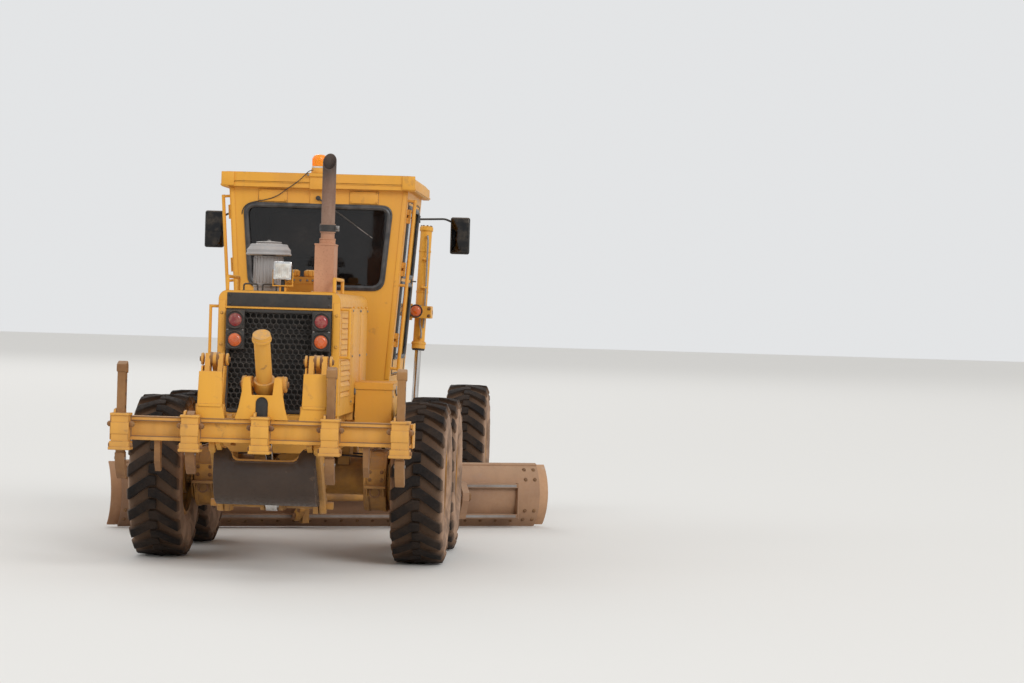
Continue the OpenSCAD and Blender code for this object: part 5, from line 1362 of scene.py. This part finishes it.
for name, s in sides:
    way = Vector((s * lift_way.x, lift_way.y, lift_way.z))
    aim = Matrix.Translation((s * lift_x, lift_y, trunnion_z)) @ way.to_track_quat("Z", "Y").to_matrix().to_4x4()
    # The tracking turns the model about its own axis, so its ports are turned to the back.
    back = aim.to_3x3().inverted() @ Vector((0.25 * s, -1, 0))
    aim = aim @ Matrix.Rotation(math.atan2(back.y, back.x) + math.pi / 2, 4, "Z")
    pins = [drum((s * lift_x + dx, lift_y, trunnion_z), (s * lift_x + dx * 1.07, lift_y, trunnion_z), 0.021, 0.003,
                 rusty, 20)
            for dx in (-0.110, 0.110)]
    mounted(gathered("lift_fittings_" + name, [copied(lift_model, aim), *pins]), "lift_barrel_" + name)
    lens = spun([(0.0001, 0.022), (0.030, 0.019), (0.048, 0.011), (0.055, 0.0), (0.055, -0.004), (0.0001, -0.004)],
                amber_lens, 40, "Z")
    ring = hoop([(0.054, -0.006), (0.054, 0.006), (0.058, 0.010), (0.064, 0.008), (0.0655, 0.0), (0.0655, -0.030),
                 (0.062, -0.034)], black, 40, "Z")
    mounted(moved(gathered("turn_lamp_lens_" + name, [lens, ring]), (s * 0.705, 1.244, 2.120), facing_back), "front")
bpy.data.objects.remove(lift_model)
saddle = []
for s in (-1, 1):
    saddle += [
        bolts([(s * x, lift_y + dy, 2.121) for x in (0.060, 0.190) for dy in (-0.115, 0.115)], up_way, 0.018, rusty),
        bolts([(s * 0.213, lift_y + dy, z) for dy in (-0.075, 0.075) for z in (1.84, 1.96)], (s, 0, 0), 0.016, rusty),
        bolts([(s * x, 1.288, z) for x in (0.640, 0.830) for z in (2.075, 2.145)], back_way, 0.012, rusty),
        tube([(s * 0.160, 0.50, 1.935), (s * 0.165, 0.90, 1.945), (s * 0.170, 1.33, 1.965)], 0.012, black),
        tube([(s * 0.130, 1.86, 1.900), (s * 0.120, 2.50, 1.790), (s * 0.110, 3.30, 1.620)], 0.010, black),
    ]
mounted(gathered("saddle_fittings", saddle), "front")

# The front frame: nose bolts and a tow pin with a bent handle, weld beads along the box
# beam's seams, bolts at the drawbar's socket, and a pad on each side of the nose.
nose = [
    bolts([(x, 4.867, z) for x in (-0.220, 0.220) for z in (0.950, 1.350)], front_way, 0.024, rusty),
    drum((-0.110, 4.906, 1.020), (0.110, 4.906, 1.020), 0.019, 0.003, bare_metal, 24),
    tube([(0.110, 4.906, 1.020), (0.130, 4.906, 1.020), (0.130, 4.906, 1.075)], 0.009, rusty, 0.02),
]
for s in (-1, 1):
    for run in ([(1.86, 2.000), (3.740, 1.474)], [(3.760, 1.476), (4.800, 1.381)], [(1.92, 1.688), (3.540, 1.190)]):
        nose.append(tube([(s * 0.1525, y, z - 0.004) for y, z in run], 0.006, weld_metal))
    socket_bolts = [(s * 0.086, 3.710 + dy, 1.050 + dz)
                    for dy, dz in ((-0.030, 0.030), (-0.030, -0.030), (0.034, 0.0))]
    nose += [
        bolts(socket_bolts, (s, 0, 0), 0.010, rusty),
        slab((s * 0.030, 4.864, 1.150), (s * 0.200, 4.872, 1.290), 0.004, dirty_yellow),
    ]
mounted(gathered("front_frame_fittings", nose), "front")

# The drawbar: bolted circle shoes, a capped turning motor with its two ports, and rings
# round the lift rods' balls. The circle is worn bright where the shoes rub.
circle_y, circle_r, plate_top = 1.410, 0.765, 0.835
drawbar_parts = []
for k in range(6):
    shoe = gathered("shoe", [
        slab((0.540, -0.056, plate_top - 0.002), (0.700, 0.056, plate_top + 0.014), 0.004, dirty_yellow),
        bolts([(x, y, plate_top + 0.014) for x in (0.570, 0.670) for y in (-0.034, 0.034)], up_way, 0.013, rusty),
    ])
    drawbar_parts.append(moved(shoe, (0, circle_y, 0), Matrix.Rotation(math.radians(60 * k), 4, "Z")))
motor_y = circle_y + circle_r - 0.260
motor_cap = spun([(0.0001, 1.052), (0.050, 1.052), (0.066, 1.046), (0.0715, 1.036), (0.0715, 1.024), (0.0001, 1.024)],
                 dirty_yellow, 40, "Z")
motor_flange = hoop([(0.070, 0.938), (0.118, 0.938), (0.1225, 0.933), (0.1225, 0.922), (0.118, 0.917),
                     (0.070, 0.917)], dirty_yellow, 40, "Z")
drawbar_parts += [moved(part, (0, motor_y, 0)) for part in (motor_cap, motor_flange)]
drawbar_parts.append(bolts([(a, motor_y + b, 0.938) for a, b in round_about(6, 0.100)], up_way, 0.012, rusty))
ball_section = [(0.058, -0.010), (0.078, -0.010), (0.081, -0.006), (0.081, 0.006), (0.078, 0.010), (0.058, 0.010)]
for s in (-1, 1):
    drawbar_parts += [
        drum((s * 0.060, motor_y + 0.030, 0.985), (s * 0.110, motor_y + 0.030, 0.985), 0.020, 0.003, bare_metal, 20),
        moved(hoop(ball_section, dirty_yellow), (s * 0.590, 1.430, 0.950)),
        tube([(s * 0.555, 1.86, 0.906), (s * 0.40, 2.40, 0.952), (s * 0.22, 3.00, 1.00)], 0.010, black),
    ]
mounted(gathered("drawbar_fittings", drawbar_parts), "drawbar")
wear_ring = moved(hoop([(0.640, -0.0005), (0.690, -0.0005), (0.690, 0.0012), (0.640, 0.0012)], bare_metal, 96, "Z"),
                  (0, circle_y, 0.790))
arm_face = 0.610
circle_place = Matrix.Translation((0, circle_y, 0)) @ Matrix.Rotation(math.radians(25), 4, "Z")
arm_parts = []
for s in (-1, 1):
    for y, z in ((-0.250, 0.120), (-0.375, 0.200)):
        cap = to_side(spun([(0.0001, 0.018), (0.026, 0.016), (0.034, 0.010), (0.036, 0.0), (0.0001, 0.0)], rusty, 32),
                      s)
        arm_parts.append(moved(cap, (s * arm_face, y, z)))
    x = s * (arm_face + 0.001)
    arm_parts += [
        tube([(x, -0.315, 0.430), (x, -0.300, 0.590), (x, -0.190, 0.665)], 0.006, weld_metal, 0.04),
        bolts([(s * arm_face, y, z) for y, z in ((-0.230, 0.745), (-0.175, 0.745), (-0.285, 0.720))], (s, 0, 0),
              0.014, rusty),
    ]
arms = gathered("arms", arm_parts)
arms.data.transform(circle_place @ Matrix.Translation((0, -0.200, 0)))
mounted(gathered("circle_fittings", [wear_ring, arms]), "circle")

# The moldboard's own look: brown-beige worn paint, bright slide rails, a rolled top
# edge, nuts behind the cutting edge and on the end bits, and the bolted rod bracket.
blade_paint = coat("blade_paint", (0.39, 0.225, 0.125), (0.32, 0.180, 0.110), dust=(0.44, 0.31, 0.21), dusty=0.8,
                   dirt=(0.20, 0.110, 0.065), dirty=0.6, worn=(0.30, 0.20, 0.14), wear=0.9, rough=0.55, grain=0.3,
                   low=(0.75, 0.10))
end_steel = coat("end_bit_steel", (0.52, 0.31, 0.175), (0.42, 0.220, 0.115), dust=(0.50, 0.35, 0.24), dusty=0.6,
                 dirt=(0.20, 0.09, 0.045), dirty=0.5, worn=(0.50, 0.40, 0.32), wear=0.8, rough=0.6, metal=0.2,
                 grain=0.4, low=(0.5, 0.1))
dressed(["blade"], blade_paint)
dressed(["cutting_edge"], end_steel)
curve_y, curve_z, curve_r, blade_half = 0.2838, 0.320, 0.413, 2.1335


def behind_blade(z, off=0.022):
    """Where the moldboard's back is at a height, and which way it faces."""
    dz = (z - curve_z) / (curve_r + off)
    way = Vector((0, -math.sqrt(1 - dz * dz), dz))
    return Vector((0, curve_y, curve_z)) + way * (curve_r + off), way


top_edge = behind_blade(0.612)[0]
blade_parts = [tube([top_edge + Vector((s * blade_half, 0.006, 0.004)) for s in (-1, 1)], 0.013, blade_paint)]
for z in (0.060, 0.112):
    at, way = behind_blade(z)
    blade_parts.append(bolts([at + Vector((-1.86 + 3.72 * k / 23, 0, 0)) for k in range(24)], way, 0.012, rusty))
for s in (-1, 1):
    for z in (0.075, 0.165, 0.475, 0.570):
        at, way = behind_blade(z)
        blade_parts.append(bolts([at + Vector((s * (blade_half - d), 0, 0)) for d in (0.045, 0.145)], way, 0.015,
                                 rusty))
    blade_parts.append(cut_plate([(-0.206, 0.088), (-0.206, 0.442), (-0.145, 0.442), (-0.155, 0.300),
                                  (-0.108, 0.088)], "X", s * 1.874, s * 1.890, 0.003, blade_paint))
for z, y in ((0.095, -0.112), (0.395, -0.152)):
    blade_parts += [
        slab((-1.86, -0.2012, z + 0.007), (1.86, -0.1985, z + 0.033), 0, bare_metal),
        tube([(-1.87, y, z - 0.002), (1.87, y, z - 0.002)], 0.006, blade_paint),
    ]
rod_nut = hoop([(0.027, 1.322), (0.048, 1.322), (0.052, 1.327), (0.052, 1.340), (0.046, 1.346), (0.027, 1.346)],
               rusty, 6)
blade_parts += [
    bolts([(1.321, y, z) for z in (0.130, 0.425) for y in (-0.150, -0.190)], right_way, 0.014, rusty),
    moved(rod_nut, (0, -0.245, 0.313)),
    cut_plate([(1.240, -0.262), (1.240, -0.140), (1.165, -0.140)], "Z", 0.420, 0.432, 0.003, blade_paint),
    cut_plate([(1.330, -0.200), (1.330, -0.140), (1.395, -0.140)], "Z", 0.420, 0.432, 0.003, blade_paint),
]
blade_fittings = gathered("blade_fittings", blade_parts)
blade_fittings.data.transform(circle_place @ Matrix.Translation((-0.150, -0.200, 0)))
mounted(blade_fittings, "blade")

# The driver's chair: two foam cushions under black cloth with sewn piping, on a sprung
# stand with a rubber boot, a pressed steel pan, and two hinged arm rests.
cloth_black, tree, shader, place = blank("chair_cloth")
threads = [node_of(tree, "ShaderNodeTexWave", {"Scale": 120.0, "Distortion": 1.2}, bands_direction=way)
           for way in ("X", "DIAGONAL")]
for wave in threads:
    tree.links.new(place, wave.inputs["Vector"])
weave = times(tree, *[wave.outputs["Fac"] for wave in threads])
worn_cloth = stepped(tree, speckle(tree, place, 6, 6), 0.35, 0.7)
tint = mixed(tree, worn_cloth, (0.030, 0.028, 0.028, 1), (0.085, 0.070, 0.058, 1))
tree.links.new(mixed(tree, stepped(tree, weave, 0.1, 0.7, 0.0, 0.5), tint, (0.11, 0.095, 0.085, 1)),
               shader.inputs["Base Color"])
shader.inputs["Roughness"].default_value = 0.9
shader.inputs["Sheen Weight"].default_value = 0.3
bump = node_of(tree, "ShaderNodeBump", {"Strength": 0.4, "Distance": 0.001})
tree.links.new(weave, bump.inputs["Height"])
tree.links.new(bump.outputs[0], shader.inputs["Normal"])


def cushion(name, half_x, low_y, high_y, thick, place_it):
    """A foam cushion: a block pulled in between its corners, blown up as cloth, with piping after."""
    pad = slab((-half_x, low_y, 0), (half_x, high_y, thick), 0.028, cloth_black)
    middle_y = (low_y + high_y) / 2
    for v in pad.data.vertices:
        inward = 0.010 * (1 - abs(v.co.x / half_x))
        v.co.x *= 0.985
        v.co.y += inward if v.co.y < middle_y else -inward
    finished(pad, "REMESH", mode="VOXEL", voxel_size=0.009)
    start = [v.co.copy() for v in pad.data.vertices]
    blown = pad.modifiers.new("blown", "CLOTH")
    blown.settings.use_pressure, blown.settings.uniform_pressure_force = True, 4
    blown.settings.effector_weights.gravity = 0
    for step in range(1, 21):
        bpy.context.scene.frame_set(step)
    swollen = pad.evaluated_get(bpy.context.evaluated_depsgraph_get()).data
    reached = [v.co.copy() for v in swollen.vertices]
    pad.modifiers.remove(blown)
    bpy.context.scene.frame_set(1)
    for v, home, there in zip(pad.data.vertices, start, reached):
        step = there - home
        # The foam lets the cloth out by 18 mm at most.
        v.co = home + step * min(1.0, 0.018 / max(step.length, 1e-6))
    finished(pad, "SUBSURF", levels=1)
    piping = []
    for z in (0.016, thick - 0.016):
        ring = rounded([(-half_x, low_y), (half_x, low_y), (half_x, high_y), (-half_x, high_y)], 0.045)
        seam = [(p.x * 1.018, p.y + (0.006 if p.y > middle_y else -0.006), z) for p in ring]
        piping.append(tube(seam, 0.0045, trim, closed=True, resolution=2))
    for part in (pad, *piping):
        part.data.transform(place_it)
    pad.name = pad.data.name = name
    mounted(pad, "front", 60)
    mounted(gathered(name + "_piping", piping), "front")


chair_y = -0.770
cushion("chair_cushion", 0.235, chair_y - 0.225, chair_y + 0.235, 0.110,
        Matrix.Translation((0, 0, 1.812)) @ Matrix.Rotation(math.radians(2), 4, "X"))
cushion("chair_back", 0.225, 0.0, 0.650, 0.100,
        Matrix.Translation((0, chair_y - 0.235, 1.915)) @ Matrix.Rotation(math.radians(98), 4, "X")
        @ Matrix.Translation((0, 0, -0.045)))
boot_folds = [(r, 1.556 + 0.016 * k) for k, r in enumerate([0.112, 0.134] * 4 + [0.112])]
boot = spun([(0.0001, 1.505), (0.150, 1.505), (0.155, 1.512), (0.155, 1.524), (0.118, 1.530)] + boot_folds
            + [(0.118, 1.700), (0.0001, 1.700)], seal_rubber, 40, "Z")
stand = [
    moved(boot, (0, chair_y, 0)),
    slab((-0.215, chair_y - 0.205, 1.698), (0.215, chair_y + 0.205, 1.735), 0.008, black),
    slab((-0.240, chair_y - 0.225, 1.780), (0.240, chair_y + 0.230, 1.806), 0.010, black),
]
for s in (-1, 1):
    stand += [
        slab((s * 0.150, chair_y - 0.190, 1.733), (s * 0.185, chair_y + 0.190, 1.782), 0.004, bare_metal),
        slab((s * 0.205, chair_y - 0.250, 1.770), (s * 0.218, chair_y - 0.190, 2.300), 0.004, black),
        tube([(s * 0.262, chair_y - 0.235, 2.020), (s * 0.262, chair_y - 0.235, 2.085),
              (s * 0.262, chair_y + 0.060, 2.095)], 0.010, black, 0.04),
        slab((s * 0.238, chair_y - 0.150, 2.098), (s * 0.288, chair_y + 0.120, 2.132), 0.014, trim),
        drum((s * 0.212, chair_y - 0.235, 2.035), (s * 0.272, chair_y - 0.235, 2.035), 0.018, 0.003, black, 20),
    ]
stand.append(tube([(0.120, chair_y + 0.200, 1.748), (0.120, chair_y + 0.262, 1.746), (0.165, chair_y + 0.285, 1.744)],
                  0.007, bare_metal, 0.02))
chair = mounted(gathered("chair_stand", stand), "front")
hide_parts("seat")
